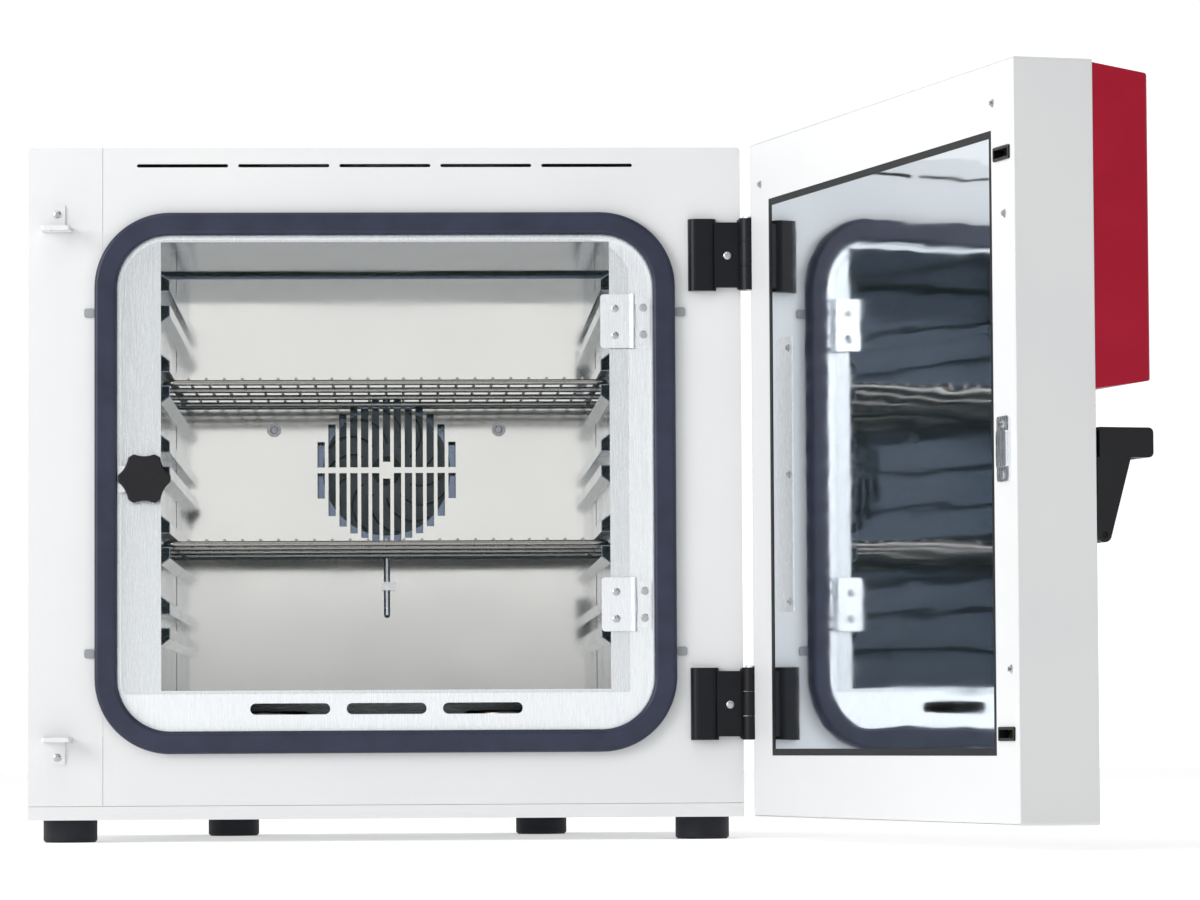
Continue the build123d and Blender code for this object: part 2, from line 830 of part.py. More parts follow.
def hinge_leaf(level):
    """Door half: a plate on the door's edge, a neck and the middle knuckle."""
    z = bottom + level
    reach = hinge_knuckle / 2 - free_gap
    start = door_face - hinge_barrel - 2
    leaf = block(half, half + leaf_sheet, start - leaf_length, start, z - hinge_height / 2, z + hinge_height / 2)
    leaf = fillet(leaf.edges().filter_by(Axis.X).group_by(Axis.Y)[0], 5)
    neck = block(half, half + leaf_sheet + 1, start - 2, door_face, z - reach, z + reach)
    body = leaf + neck + knuckle(z - reach, z + reach)
    return body - rod_z(hinge_x, door_face, z - reach - 1, z + reach + 1, hinge_pin + running_gap)


def hinge_pins():
    group = []
    for level in (hinge_upper, hinge_lower):
        z = bottom + level
        pin = rod_z(hinge_x, door_face, z - hinge_height / 2, z + hinge_height / 2, hinge_pin)
        cap = rod_z(hinge_x, door_face, z + hinge_height / 2, z + hinge_height / 2 + 2, hinge_pin * 1.8)
        group.append(pin + fillet(cap.edges().group_by(Axis.Z)[-1], 1))
    return Compound(group)


def barrel_notches(solid):
    """Room in the door's corner for the cabinet's knuckles."""
    for level in (hinge_upper, hinge_lower):
        z = bottom + level
        reach = hinge_height / 2 + 1
        solid -= rod_z(hinge_x, door_face, z - reach, z + reach, hinge_barrel + 0.8)
    return solid


# Outer door

def door_shell():
    """Painted pan: front, four turned-back edges, and the slot for the handle's crank."""
    outer = Pos(0, (top + bottom) / 2) * RectangleRounded(cabinet_width, cabinet_height, door_corner)
    inner = Pos(0, (top + bottom) / 2) * RectangleRounded(
        cabinet_width - 2 * door_sheet, cabinet_height - 2 * door_sheet, door_corner - door_sheet)
    pan = facing(outer, door_front, door_face) - facing(inner, door_front + door_sheet, door_face + 1)
    pan = fillet(pan.edges().group_by(Axis.Y)[0], door_sheet * 0.8)
    pan -= crank_room(door_front - 1, door_front + door_sheet + 1)
    return barrel_notches(pan)


def crank_room(y0, y1):
    x = latch_x + rod_width / 2 + free_gap
    return block(x - 1, x + crank_sheet + 1, y0, y1, pivot_z - crank_pin - 2, pivot_z + crank_pin + 5)


def panel_outline(margin):
    return Pos(0, panel_z) * Rectangle(panel_width + 2 * margin, panel_height + 2 * margin)


def guide_outline(level, width, height):
    return Pos(latch_x, bottom + level) * Rectangle(width, height)


def door_screw_places():
    edge = (half - panel_width / 2) / 2
    corners = [(edge - half + 18, top - door_screw_upper), (half - edge, top - door_screw_corner)]
    return corners + [(latch_x - 4, bottom + latch_upper - door_screw_drop),
                      (latch_x - 9, bottom + latch_lower + door_screw_rise)]


def strip_screw_places():
    x = panel_width / 2 - strip_inset + strip_width * 0.2
    low = bottom + strip_lift
    return [(x, low + strip_height * share) for share in (0.04, 0.5, 0.96)]


def fixing_screw_places():
    z = pivot_z + (fixing_height + handle_drop) / 2
    return [(latch_x, z - fixing_height * 0.39), (latch_x, z + fixing_height * 0.39)]


def door_inner_frame():
    """Painted picture frame that closes the pan round the polished panel."""
    edge = door_sheet + seam_gap
    outer = Pos(0, (top + bottom) / 2) * RectangleRounded(
        cabinet_width - 2 * edge, cabinet_height - 2 * edge, door_corner - door_sheet)
    frame = facing(outer - panel_outline(panel_seal), door_face - door_sheet, door_face)
    through = (door_face - door_sheet - 1, door_face + 1)
    for level in (latch_upper, latch_lower):
        frame -= facing(guide_outline(level, guide_width - 3, guide_height - 2), *through)
    for x, z in door_screw_places() + fixing_screw_places():
        frame -= rod_y(x, z, *through, screw_shank + screw_gap)
    return barrel_notches(frame)


def door_mirror_panel():
    panel = facing(panel_outline(0), panel_face - panel_sheet, panel_face)
    for x, z in strip_screw_places():
        panel -= rod_y(x, z, panel_face - panel_sheet - 1, panel_face + 1, screw_shank + screw_gap)
    return panel


def door_panel_seal():
    """Black seal in the joint between the polished panel and the frame."""
    ring = panel_outline(panel_seal - free_gap / 3) - panel_outline(free_gap / 3)
    return facing(ring, door_face - door_sheet, door_face - free_gap)


def door_insulation():
    """Mineral wool board behind the polished panel, beside the latch channel."""
    left = channel_width - half
    right = half - door_sheet - free_gap
    low = bottom + door_sheet + free_gap
    high = top - door_sheet - free_gap
    back = panel_face - panel_sheet - free_gap
    outline = Pos((left + right) / 2, (low + high) / 2) * Rectangle(right - left, high - low)
    outline = fillet(outline.vertices().group_by(Axis.X)[-1], door_corner)
    wool = facing(outline, back - door_wool, back)
    for x, z in strip_screw_places() + [door_screw_places()[0], door_screw_places()[1]]:
        wool -= rod_y(x, z, back - 12, back + 1, screw_shank + free_gap)
    for level in (hinge_upper, hinge_lower):
        z = bottom + level
        reach = hinge_height / 2 + 1
        wool -= rod_z(hinge_x, door_face, z - reach, z + reach, hinge_barrel + 3)
    return wool


def door_cover_strip():
    x = panel_width / 2 - strip_inset + strip_width / 2
    low = bottom + strip_lift
    strip = facing(Pos(x, low + strip_height / 2) * RectangleRounded(strip_width, strip_height, 2),
                   panel_face, panel_face + strip_sheet)
    for x, z in strip_screw_places():
        strip -= rod_y(x, z, panel_face - 1, panel_face + 2, screw_shank + screw_gap)
    return strip


def inward_screw(x, y, z, grip):
    """A pan-head screw whose head stands on a door face that looks to the cabinet."""
    return mirror(pan_screw(x, -y, z, grip), about=Plane.XZ)


def door_screws():
    frame = [inward_screw(x, door_face, z, door_sheet + 3) for x, z in door_screw_places()]
    strip = [inward_screw(x, panel_face + strip_sheet, z, strip_sheet + panel_sheet + 3)
             for x, z in strip_screw_places()]
    fixing = [inward_screw(x, door_face + fixing_sheet, z, fixing_sheet + door_sheet + 3)
              for x, z in fixing_screw_places()]
    return Compound(frame + strip + fixing)


def handle_plate():
    """Bright plate on the inner face, level with the handle, with a raised middle."""
    z = pivot_z + (fixing_height + handle_drop) / 2
    plate = facing(Pos(latch_x, z) * RectangleRounded(fixing_width, fixing_height, 3),
                   door_face, door_face + fixing_sheet)
    pad = facing(Pos(latch_x, z) * RectangleRounded(fixing_width - 4, fixing_height * 0.55, 2),
                 door_face, door_face + fixing_sheet * 1.8)
    plate += pad
    for x, screw_z in fixing_screw_places():
        plate -= rod_y(x, screw_z, door_face - 1, door_face + fixing_sheet * 2, screw_shank + screw_gap)
    return plate


def latch_guides():
    """Black mouths in the door frame for the strikers, and the keepers of the latch rod."""
    group = []
    for level in (latch_upper, latch_lower):
        collar = facing(guide_outline(level, guide_width, guide_height), door_face, door_face + screw_height)
        neck = facing(guide_outline(level, guide_width - 3 - free_gap, guide_height - 2 - free_gap),
                      door_face - guide_depth, door_face)
        mouth = facing(guide_outline(level, striker_width + 3, striker_thick + 2.5),
                       door_face - guide_depth - 1, door_face + screw_height + 1)
        collar = fillet(collar.edges().filter_by(Axis.Y), 1.5)
        group.append(collar + neck - mouth)
    for z in (bottom + latch_lower + keeper_inset, bottom + latch_upper - keeper_inset):
        group.append(rod_keeper(z))
    return Compound(group)


def rod_keeper(z):
    """Bridge on the inside of the door's front that the latch rod slides through."""
    y0, y1 = rod_y_range()
    wide = rod_width / 2 + free_gap
    shape = (latch_x - wide - keeper_wall, latch_x + wide + keeper_wall)
    keeper = block(*shape, door_front + door_sheet, y1 + free_gap + keeper_wall,
                   z - keeper_height / 2, z + keeper_height / 2)
    return keeper - block(latch_x - wide, latch_x + wide, y0 - free_gap, y1 + free_gap,
                          z - keeper_height, z + keeper_height)


# Latch and handle

def finger_y():
    return -(striker_reach + door_gap + guide_depth) / 2 + 1


def rod_y_range():
    middle = door_face - rod_depth
    return middle - rod_thick / 2, middle + rod_thick / 2


def latch_rod():
    """Vertical bar in the latch channel with a hooked arm at each end and the crank's slot between."""
    y0, y1 = rod_y_range()
    x0 = latch_x - rod_width / 2
    x1 = latch_x + rod_width / 2
    lift = striker_thick / 2 + finger_depth * 2
    low = bottom + latch_lower
    high = bottom + latch_upper
    bar = block(x0, x1, y0, y1, low - 12, high + lift + finger_thick)
    finger = finger_y()
    for z in (low, high):
        bar += block(x0, x1, y0, finger + finger_thick / 2, z + lift, z + lift + finger_thick)
        tip = block(x0, x1, finger - finger_thick / 2, finger + finger_thick / 2,
                    z - striker_thick / 2 - 0.5, z + lift + 1)
        bar += chamfer(tip.edges().filter_by(Axis.X).group_by(Axis.Z)[0], 1.2)
    crank_y = pivot_y + crank_length
    boss = block(x0, x1, min(y0, crank_y - crank_pin * 2.6), max(y1, crank_y + crank_pin * 2.6),
                 pivot_z - crank_pin * 3, pivot_z + crank_pin * 3)
    slot = block(x0 - 1, x1 + 1, crank_y - crank_pin * 1.7, crank_y + crank_pin * 1.5,
                 pivot_z - crank_pin - free_gap, pivot_z + crank_pin + free_gap)
    return bar + boss - slot


def wedge_outline(skin):
    """Side of the lever below its bar: a hull from the pivot's round to the bar's underside."""
    low_z = handle_z - handle_bar
    back = door_front - (handle_pivot - handle_hub)
    front = door_front - handle_slope
    reach = hypot(front - pivot_y, low_z - pivot_z)
    lean = atan2(low_z - pivot_z, front - pivot_y) + pi / 2 - asin(handle_hub / reach)
    touch = (pivot_y + handle_hub * cos(lean), pivot_z + handle_hub * sin(lean))
    side = Polygon((back, low_z), (front, low_z), touch, (pivot_y, pivot_z), (back, pivot_z), align=None)
    return side + Pos(pivot_y, pivot_z) * Circle(handle_hub) if not skin else side


def door_handle():
    """Pull lever: a hooded grip between two wedge cheeks, hinged at their foot, with the latch crank."""
    x0 = -half
    x1 = handle_width - half
    low_z = handle_z - handle_bar
    grip = block(x0, x1, door_front - handle_depth, door_front - mount_plate - free_gap, low_z, handle_z)
    grip = fillet(grip.edges().filter_by(Axis.X).group_by(Axis.Y)[0], 4)
    lever = grip + sideways(wedge_outline(False), x0, x1)
    inner = sideways(wedge_outline(True), x0 + handle_wall, x1 - handle_wall)
    lever -= Pos(0, handle_skin, 0) * inner
    hollow = block(x0 + handle_wall, x1 - handle_wall, door_front - handle_hub * 2.2, door_front,
                   pivot_z - handle_hub * 2, low_z)
    lever -= hollow
    lever -= block(x0 + handle_wall, x1 - handle_wall, door_front - handle_depth + handle_lip, door_front,
                   pivot_z + handle_apron, handle_z - handle_roof)
    lever -= block(x0 + handle_wall, x1 - handle_wall, door_front - handle_depth - 1, door_front,
                   pivot_z + handle_apron, low_z)
    ears = ear_places()
    hub = rod_x(pivot_y, pivot_z, ears[0][1] + free_gap, ears[1][0] - free_gap, handle_hub)
    rib = block(ears[0][1] + free_gap, ears[1][0] - free_gap, pivot_y - handle_hub * 1.8, pivot_y,
                pivot_z, pivot_z + handle_hub * 1.6)
    lever += hub + (rib & sideways(wedge_outline(False), x0, x1))
    crank_x = latch_x + rod_width / 2 + free_gap
    crank_y = pivot_y + crank_length
    arm = block(crank_x, crank_x + crank_sheet, pivot_y, crank_y, pivot_z - crank_pin, pivot_z + crank_pin)
    lever += arm + rod_x(crank_y, pivot_z, latch_x - rod_width / 2 + 0.5, crank_x + crank_sheet, crank_pin)
    return lever - rod_x(pivot_y, pivot_z, x0 - 1, x1 + 1, handle_pin + running_gap)


def ear_places():
    """The two ears of the handle mount, as X ranges just inside the lever's cheeks."""
    left = handle_wall + free_gap - half
    right = handle_width - handle_wall - free_gap - half
    return (left, left + handle_wall * 0.6), (right - handle_wall * 0.6, right)


def handle_mount():
    """Plate on the door's front with the two ears that carry the lever's pin."""
    (x0, x1), (x2, x3) = ear_places()
    low = pivot_z + handle_hub + 1.5
    plate = block(x0, x3, door_front - mount_plate, door_front, low, handle_z - 4)
    for start, end in ((x0, x1), (x2, x3)):
        plate += block(start, end, pivot_y, door_front, pivot_z - handle_hub * 0.8, low + 8)
        plate += rod_x(pivot_y, pivot_z, start, end, handle_hub * 0.8)
    return plate - rod_x(pivot_y, pivot_z, x0 - 1, x3 + 1, handle_pin + running_gap / 2)


def handle_pivot_pin():
    return rod_x(pivot_y, pivot_z, 1 - half, handle_width - half - 1, handle_pin)


# Instrument housing

def housing_outline(inset):
    """Front of the housing: upright beside the door's free edge, leaning in towards the foot."""
    left = -half + min(inset, housing_wall)
    high = housing_z - inset
    low = housing_z - housing_height + inset
    outline = Polygon((left, low), (left, high), (housing_top - half - inset, high),
                      (housing_bottom - half - inset, low), align=None)
    corners = outline.vertices().group_by(Axis.X)
    outline = fillet(corners[-1] + corners[-2], housing_corner - inset * 0.5)
    return outline


def housing_loft(inset, depth):
    base = Plane.XZ.offset(-door_front) * housing_outline(inset)
    face = Plane.XZ.offset(-door_front + depth) * housing_outline(inset + housing_draft)
    return loft([base, face])


def control_housing():
    """Moulded red housing with a drafted rim, hollow behind its front wall."""
    shell = housing_loft(0, housing_depth)
    shell = fillet(shell.edges().group_by(Axis.Y)[0], housing_edge)
    shell -= housing_loft(housing_wall, housing_depth - housing_wall)
    through = (housing_face - 1, housing_face + housing_wall + 1)
    x = element_x()
    window = Pos(x, housing_z - window_drop) * RectangleRounded(window_width, window_height, 3)
    opening = Pos(x, housing_z - window_drop) * RectangleRounded(window_width - 6, window_height - 6, 2)
    shell -= facing(window, housing_face - 1, housing_face + window_sheet)
    shell -= facing(opening, *through)
    for button_x in button_places():
        shell -= rod_y(button_x, housing_z - button_drop, *through, button_radius + free_gap)
    rocker_half = rocker_radius + free_gap
    shell -= block(x - rocker_width / 2 - free_gap, x + rocker_width / 2 + free_gap, *through,
                   housing_z - rocker_drop - rocker_half, housing_z - rocker_drop + rocker_half)
    return shell - rod_y(x, housing_z - dial_drop, *through, shaft_radius + running_gap)


def element_x():
    return element_inset - half


def display_window():
    gap = free_gap / 2
    x, z = element_x(), housing_z - window_drop
    glass = Pos(x, z) * RectangleRounded(window_width - 2 * gap, window_height - 2 * gap, 3 - gap)
    return facing(glass, housing_face + gap, housing_face + window_sheet)


def button_places():
    return [element_x() + x for x in spread(3, button_pitch)]


def push_button(x):
    """Round key that a collar keeps behind the housing's front wall."""
    z = housing_z - button_drop
    cap = rod_y(x, z, housing_face - button_proud, housing_face + housing_wall + free_gap, button_radius)
    cap = fillet(cap.edges().group_by(Axis.Y)[0], 1.2)
    inner = housing_face + housing_wall + free_gap
    return cap + rod_y(x, z, inner, inner + 2, button_radius + 1.5)


def power_rocker():
    """Two-way rocker with a dished front, tipped to its off side, on a stub at each end."""
    x, z = element_x(), housing_z - rocker_drop
    pivot = rocker_pivot()
    centre = housing_face - rocker_proud - pivot
    face = Polygon((centre - rocker_dish, rocker_radius), (centre, 0), (centre - rocker_dish, -rocker_radius),
                   (rocker_radius, -rocker_radius), (rocker_radius, rocker_radius), align=None)
    outline = face & Circle(rocker_radius)
    body = sideways(Pos(pivot, z) * outline, x - rocker_width / 2, x + rocker_width / 2)
    body += rod_x(pivot, z, x - rocker_width / 2 - 2, x + rocker_width / 2 + 2, rocker_stub)
    return body.rotate(Axis((0, pivot, z), (1, 0, 0)), -rocker_tilt)


def rocker_pivot():
    return housing_face + housing_wall + rocker_stub + free_gap


def thermostat_dial():
    """Safety thermostat knob: a fluted grip with a pointer groove, on its own spindle."""
    x, z = element_x(), housing_z - dial_drop
    y1 = housing_face - free_gap
    y0 = y1 - dial_height
    grip = rod_y(x, z, y0, y1 - 3, dial_radius - 2)
    flutes = 12
    for i in range(flutes):
        turn = 2 * pi * i / flutes
        place = (x + (dial_radius - 1) * cos(turn), z + (dial_radius - 1) * sin(turn))
        grip -= rod_y(*place, y0 - 1, y1 - 3, 2.2)
    grip += rod_y(x, z, y1 - 3, y1, dial_radius)
    groove = block(x - 0.8, x + 0.8, y0 - 1, y0 + 1, z, z + dial_radius)
    grip -= groove.rotate(Axis((x, 0, z), (0, 1, 0)), -dial_start)
    return grip + rod_y(x, z, y1, housing_face + housing_wall + 4, shaft_radius)


# Inner glass door

def glass_levels():
    return floor + glass_hinge_rise, ceiling - glass_hinge_drop


def glass_pane():
    """Glass cut parallel to the recess, square below and on the hinge side."""
    left = -recess_half
    right = glass_axis_x - pane_hinge_gap
    low = floor - pane_sill
    limits = Pos((left + right) / 2, (low + recess_high) / 2) * Rectangle(right - left, recess_high - low)
    swept = Pos(-pane_relief, 0) * frame_outline(-pane_edge_gap)
    outline = frame_outline(-pane_edge_gap) & swept & limits
    outline = fillet(outline.vertices().group_by(Axis.Y)[0], pane_corner)
    pane = facing(outline, glass_y, glass_y + pane_sheet)
    x, z = knob_place()
    pane -= rod_y(x, z, glass_y - 1, glass_y + pane_sheet + 1, knob_spindle + running_gap)
    for screw_x, screw_z in glass_screw_places():
        pane -= rod_y(screw_x, screw_z, glass_y - 1, glass_y + pane_sheet + 1, screw_shank + screw_gap)
    return pane


def glass_screw_places():
    x = glass_axis_x - glass_leaf_length * 0.55
    return [(x, z + side * glass_leaf_height / 4) for z in glass_levels() for side in (-1, 1)]


def plate_screw_places():
    x = glass_axis_x + glass_axis_inset * 0.58
    return [(x, z + side * glass_leaf_height / 4) for z in glass_levels() for side in (-1, 1)]


def glass_third():
    return glass_leaf_height / 3


def glass_hinge_leaves():
    """Moving halves: a leaf on the pane's face and the middle knuckle."""
    group = []
    third = glass_third()
    for z in glass_levels():
        leaf = block(glass_axis_x - glass_leaf_length, glass_axis_x - glass_barrel * 0.6, glass_y - glass_leaf,
                     glass_y, z - glass_leaf_height / 2, z + glass_leaf_height / 2)
        leaf = fillet(leaf.edges().filter_by(Axis.Y).group_by(Axis.X)[0], 3)
        leaf -= rod_z(glass_axis_x, glass_axis_y, z - glass_leaf_height, z + glass_leaf_height,
                      glass_barrel + free_gap)
        reach = third / 2 - free_gap / 2
        leaf += rod_z(glass_axis_x, glass_axis_y, z - reach, z + reach, glass_barrel)
        leaf += block(glass_axis_x - glass_barrel * 2, glass_axis_x, glass_y - glass_leaf, glass_y - free_gap,
                      z - reach, z + reach)
        leaf -= rod_z(glass_axis_x, glass_axis_y, z - third, z + third, glass_pin + running_gap)
        group.append(leaf)
    leaves = Compound(group)
    for x, z in glass_screw_places():
        leaves -= rod_y(x, z, glass_y - glass_leaf - 1, glass_y + 1, screw_shank + screw_gap)
    return leaves


def glass_hinge_plates():
    """Fixed halves on the recessed frame: a spacer block and the outer pair of knuckles."""
    group = []
    third = glass_third()
    left = glass_axis_x + glass_barrel + free_gap
    right = recess_half - 1.5
    for z in glass_levels():
        low = z - glass_leaf_height / 2
        high = z + glass_leaf_height / 2
        plate = block(left, right, glass_y - glass_leaf, recess_depth,
                      z - glass_plate_height / 2, z + glass_plate_height / 2)
        for z0, z1 in ((low, z - third / 2), (z + third / 2, high)):
            plate += rod_z(glass_axis_x, glass_axis_y, z0, z1, glass_barrel)
            plate += block(glass_axis_x, left + 1, glass_axis_y, glass_y - free_gap, z0, z1)
        plate -= rod_z(glass_axis_x, glass_axis_y, low - 1, high + 1, glass_pin + running_gap / 2)
        group.append(plate)
    plates = Compound(group)
    for x, z in plate_screw_places():
        plates -= rod_y(x, z, glass_y - glass_leaf - 1, recess_depth + 1, screw_shank + screw_gap)
    return plates


def glass_hinge_pins():
    reach = glass_leaf_height / 2
    pins = [rod_z(glass_axis_x, glass_axis_y, z - reach, z + reach, glass_pin) for z in glass_levels()]
    face = glass_y - glass_leaf
    screws = [pan_screw(x, face, z, recess_depth - face) for x, z in plate_screw_places()]
    return Compound(pins + screws)


def glass_hinge_screws():
    face = glass_y - glass_leaf
    return Compound([pan_screw(x, face, z, glass_leaf + pane_sheet) for x, z in glass_screw_places()])


def knob_place():
    return pane_edge_gap - recess_half + knob_inset, floor + knob_rise


def tongue_front():
    return glass_y - free_gap - knob_foot - tongue_sheet


def glass_knob():
    """Lobed turn knob with the tongue that locks the glass door behind its catch."""
    x, z = knob_place()
    back = glass_y - free_gap
    grip_back = min(tongue_front() - catch_fold - 2 * free_gap, -free_gap)
    tongue_reach = knob_inset + pane_edge_gap - catch_sheet - free_gap
    grip = Pos(x, z) * Circle(knob_radius)
    for i in range(knob_lobes):
        turn = 2 * pi * (i + 0.5) / knob_lobes
        reach = knob_waist + knob_scallop
        grip -= Pos(x + reach * cos(turn), z + reach * sin(turn)) * Circle(knob_scallop)
    grip = fillet(grip.vertices(), 2.2)
    knob = facing(grip, grip_back - knob_depth, grip_back)
    knob = fillet(knob.faces().sort_by(Axis.Y)[0].edges(), 1.6)
    knob += rod_y(x, z, grip_back, back, knob_foot_radius)
    tongue = Pos(x - tongue_reach / 2, z) * Rectangle(tongue_reach, tongue_width)
    tongue = fillet(tongue.vertices().group_by(Axis.X)[0], tongue_width * 0.4)
    rim = Pos(x, z) * Circle(tongue_reach)
    knob += facing(tongue & rim, tongue_front(), tongue_front() + tongue_sheet)
    return knob + rod_y(x, z, back, glass_y + pane_sheet, knob_spindle)


def glass_catch():
    """Bent plate on the side of the recess whose lip the knob's tongue turns behind."""
    z = knob_place()[1]
    low, high = z - catch_height / 2, z + catch_height / 2
    lip_back = tongue_front() - free_gap
    lip_front = lip_back - catch_fold
    wall = block(-recess_half, catch_sheet - recess_half, lip_front, recess_depth, low, high)
    lip = block(-recess_half, catch_lip - recess_half, lip_front, lip_back, low, high)
    return wall + fillet(lip.edges().filter_by(Axis.Y).group_by(Axis.X)[-1], 2)


# Back and top of the cabinet

def exhaust_duct():
    """Duct from the plenum to a spigot behind the cabinet, with a collar on the rear panel."""
    place = duct_place()
    outer = duct_bore + duct_wall
    tube = rod_y(*place, plenum_y, rear_y, outer - free_gap / 3)
    tube += rod_y(*place, rear_y, rear_y + 2, outer + duct_collar)
    tube += rod_y(*place, rear_y + 2, rear_y + rear_inset + duct_spigot, outer)
    return tube - rod_y(*place, plenum_y - 1, rear_y + duct_spigot + 5, duct_bore)


def wall_spacers():
    """Two studs that keep the cabinet off the wall behind it."""
    group = []
    for side in (-1, 1):
        x, z = side * (half - 60), top - 60
        stud = rod_y(x, z, rear_y, rear_y + spacer_length, spacer_radius)
        group.append(fillet(stud.edges().group_by(Axis.Y)[-1], 3))
    return Compound(group)


def rear_screws():
    place = [mirror(pan_screw(x, -rear_y, z, rear_sheet + 4), about=Plane.XZ) for x, z in rear_screw_places()]
    return Compound(place)


def power_inlet():
    """Appliance inlet: a flanged shroud with three blades."""
    x, z = inlet_x, bottom + inlet_rise
    flange = Pos(x, z) * RectangleRounded(inlet_width + 12, inlet_height + 6, 2)
    inlet = facing(flange, rear_y, rear_y + 2)
    depth = rear_y - rear_sheet - 14
    body = Pos(x, z) * Rectangle(inlet_width - 2 * free_gap, inlet_height - 2 * free_gap)
    inlet += facing(body, depth, rear_y)
    mouth = Pos(x, z) * Rectangle(inlet_width - 4, inlet_height - 4)
    mouth = chamfer(mouth.vertices().group_by(Axis.Y)[-1], 4)
    inlet -= facing(mouth, depth + 3, rear_y + 3)
    for dx, dz in ((-7, -2), (7, -2), (0, 3)):
        inlet += block(x + dx - 1, x + dx + 1, depth + 2, rear_y - 1, z + dz - 2.5, z + dz + 2.5)
    return inlet


def electronics_tray():
    """Folded sheet over the insulation that carries the control board."""
    inner = half - casing_sheet - seam_gap
    front = fascia_sheet + 10
    back = rear_y - rear_sheet - free_gap
    low = wool_high + free_gap
    tray = block(-inner, inner, front, back, low, low + tray_sheet)
    for x0, x1 in ((-inner, tray_sheet - inner), (inner - tray_sheet, inner)):
        tray += block(x0, x1, front, back, low, low + tray_edge)
    for x, y in board_posts():
        tray += rod_z(x, y, low + tray_sheet, board_z(), 3)
    return tray


def board_z():
    return wool_high + free_gap + tray_sheet + board_standoff


def board_posts():
    x, y = board_width / 2 - 10, board_length / 2 - 10
    middle = board_setback + board_length / 2
    return [(side * x, middle + end * y) for side in (-1, 1) for end in (-1, 1)]


def control_board():
    """Power board with its transformer, relays and terminal row."""
    z = board_z()
    y = board_setback + board_length / 2
    board = block(-board_width / 2, board_width / 2, y - board_length / 2, y + board_length / 2, z, z + 1.6)
    board += block(-70, -26, y - 30, y + 14, z + 1.6, z + 17)
    for i in range(4):
        board += block(i * 20 - 10, i * 20 + 5, y - 20, y + 8, z + 1.6, z + 15)
    return board + block(-60, 60, y + 40, y + 52, z + 1.6, z + 12)


# Every node of the model

fixed_nodes = {
    "outer_casing": outer_casing(),
    "base_panel": base_panel(),
    "rear_panel": rear_panel(),
    "front_fascia": front_fascia(),
    "left_column_cover": left_column_cover(),
    "feet": feet(),
    "inner_frame": inner_frame(),
    "inner_chamber": inner_chamber(),
    "jacket_shell": jacket_shell(),
    "insulation": insulation(),
    "heater_elements": heater_elements(),
    "rear_baffle": rear_baffle(),
    "baffle_screws": baffle_screws(),
    "fan_impeller": fan_impeller(),
    "fan_motor": fan_motor(),
    "temperature_probe": temperature_probe(),
    "shelf_upper": wire_shelf(3),
    "shelf_lower": wire_shelf(1),
    "door_gasket": door_gasket(),
    "gasket_clips": gasket_clips(),
    "latch_strikers": latch_strikers(),
    "cabinet_screws": cabinet_screws(),
    "hinge_bracket_upper": hinge_bracket(hinge_upper),
    "hinge_bracket_lower": hinge_bracket(hinge_lower),
    "hinge_pins": hinge_pins(),
    "exhaust_duct": exhaust_duct(),
    "wall_spacers": wall_spacers(),
    "rear_screws": rear_screws(),
    "power_inlet": power_inlet(),
    "electronics_tray": electronics_tray(),
    "control_board": control_board(),
    "glass_pane": glass_pane(),
    "glass_hinge_leaves": glass_hinge_leaves(),
    "glass_hinge_plates": glass_hinge_plates(),
    "glass_hinge_pins": glass_hinge_pins(),
    "glass_hinge_screws": glass_hinge_screws(),
    "glass_knob": glass_knob(),
    "glass_catch": glass_catch(),
}

door_nodes = {
    "door_shell": door_shell(),
    "door_inner_frame": door_inner_frame(),
    "door_mirror_panel": door_mirror_panel(),
    "door_panel_seal": door_panel_seal(),
    "door_insulation": door_insulation(),
    "door_cover_strip": door_cover_strip(),
    "door_screws": door_screws(),
    "hinge_leaf_upper": hinge_leaf(hinge_upper),
    "hinge_leaf_lower": hinge_leaf(hinge_lower),
    "latch_guides": latch_guides(),
    "latch_rod": latch_rod(),
    "handle_plate": handle_plate(),
    "handle_mount": handle_mount(),
    "handle_pin": handle_pivot_pin(),
    "door_handle": door_handle(),
    "control_housing": control_housing(),
    "display_window": display_window(),
    "power_rocker": power_rocker(),
    "thermostat_dial": thermostat_dial(),
}
for name, x in zip(("button_down", "button_set", "button_up"), button_places()):
    door_nodes[name] = push_button(x)

os.makedirs("parts", exist_ok=True)
for name, shape in fixed_nodes.items():
    export_step(shape, f"parts/{name}.step")
for name, shape in door_nodes.items():
    export_step(swung(shape), f"parts/{name}.step")
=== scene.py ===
import json
import math

import bpy
from mathutils import Matrix, Vector


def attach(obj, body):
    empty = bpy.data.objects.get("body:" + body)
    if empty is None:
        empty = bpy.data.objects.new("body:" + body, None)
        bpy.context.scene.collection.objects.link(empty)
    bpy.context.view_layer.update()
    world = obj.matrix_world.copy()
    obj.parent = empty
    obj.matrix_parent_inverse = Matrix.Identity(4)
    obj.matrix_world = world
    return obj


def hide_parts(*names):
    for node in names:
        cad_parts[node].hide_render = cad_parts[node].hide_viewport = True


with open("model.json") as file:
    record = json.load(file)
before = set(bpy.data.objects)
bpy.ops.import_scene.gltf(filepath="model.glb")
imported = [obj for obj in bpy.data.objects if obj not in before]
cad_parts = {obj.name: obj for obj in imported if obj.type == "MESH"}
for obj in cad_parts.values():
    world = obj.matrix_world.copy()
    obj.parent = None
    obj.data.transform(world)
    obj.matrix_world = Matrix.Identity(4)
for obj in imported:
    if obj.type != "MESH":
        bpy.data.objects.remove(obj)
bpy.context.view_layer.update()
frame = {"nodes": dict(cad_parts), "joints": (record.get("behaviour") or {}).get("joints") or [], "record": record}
nodes = frame["nodes"]
joints = {joint["name"]: joint for joint in frame["joints"]}
mm = 0.001
print("frame loaded:", len(nodes), "nodes")


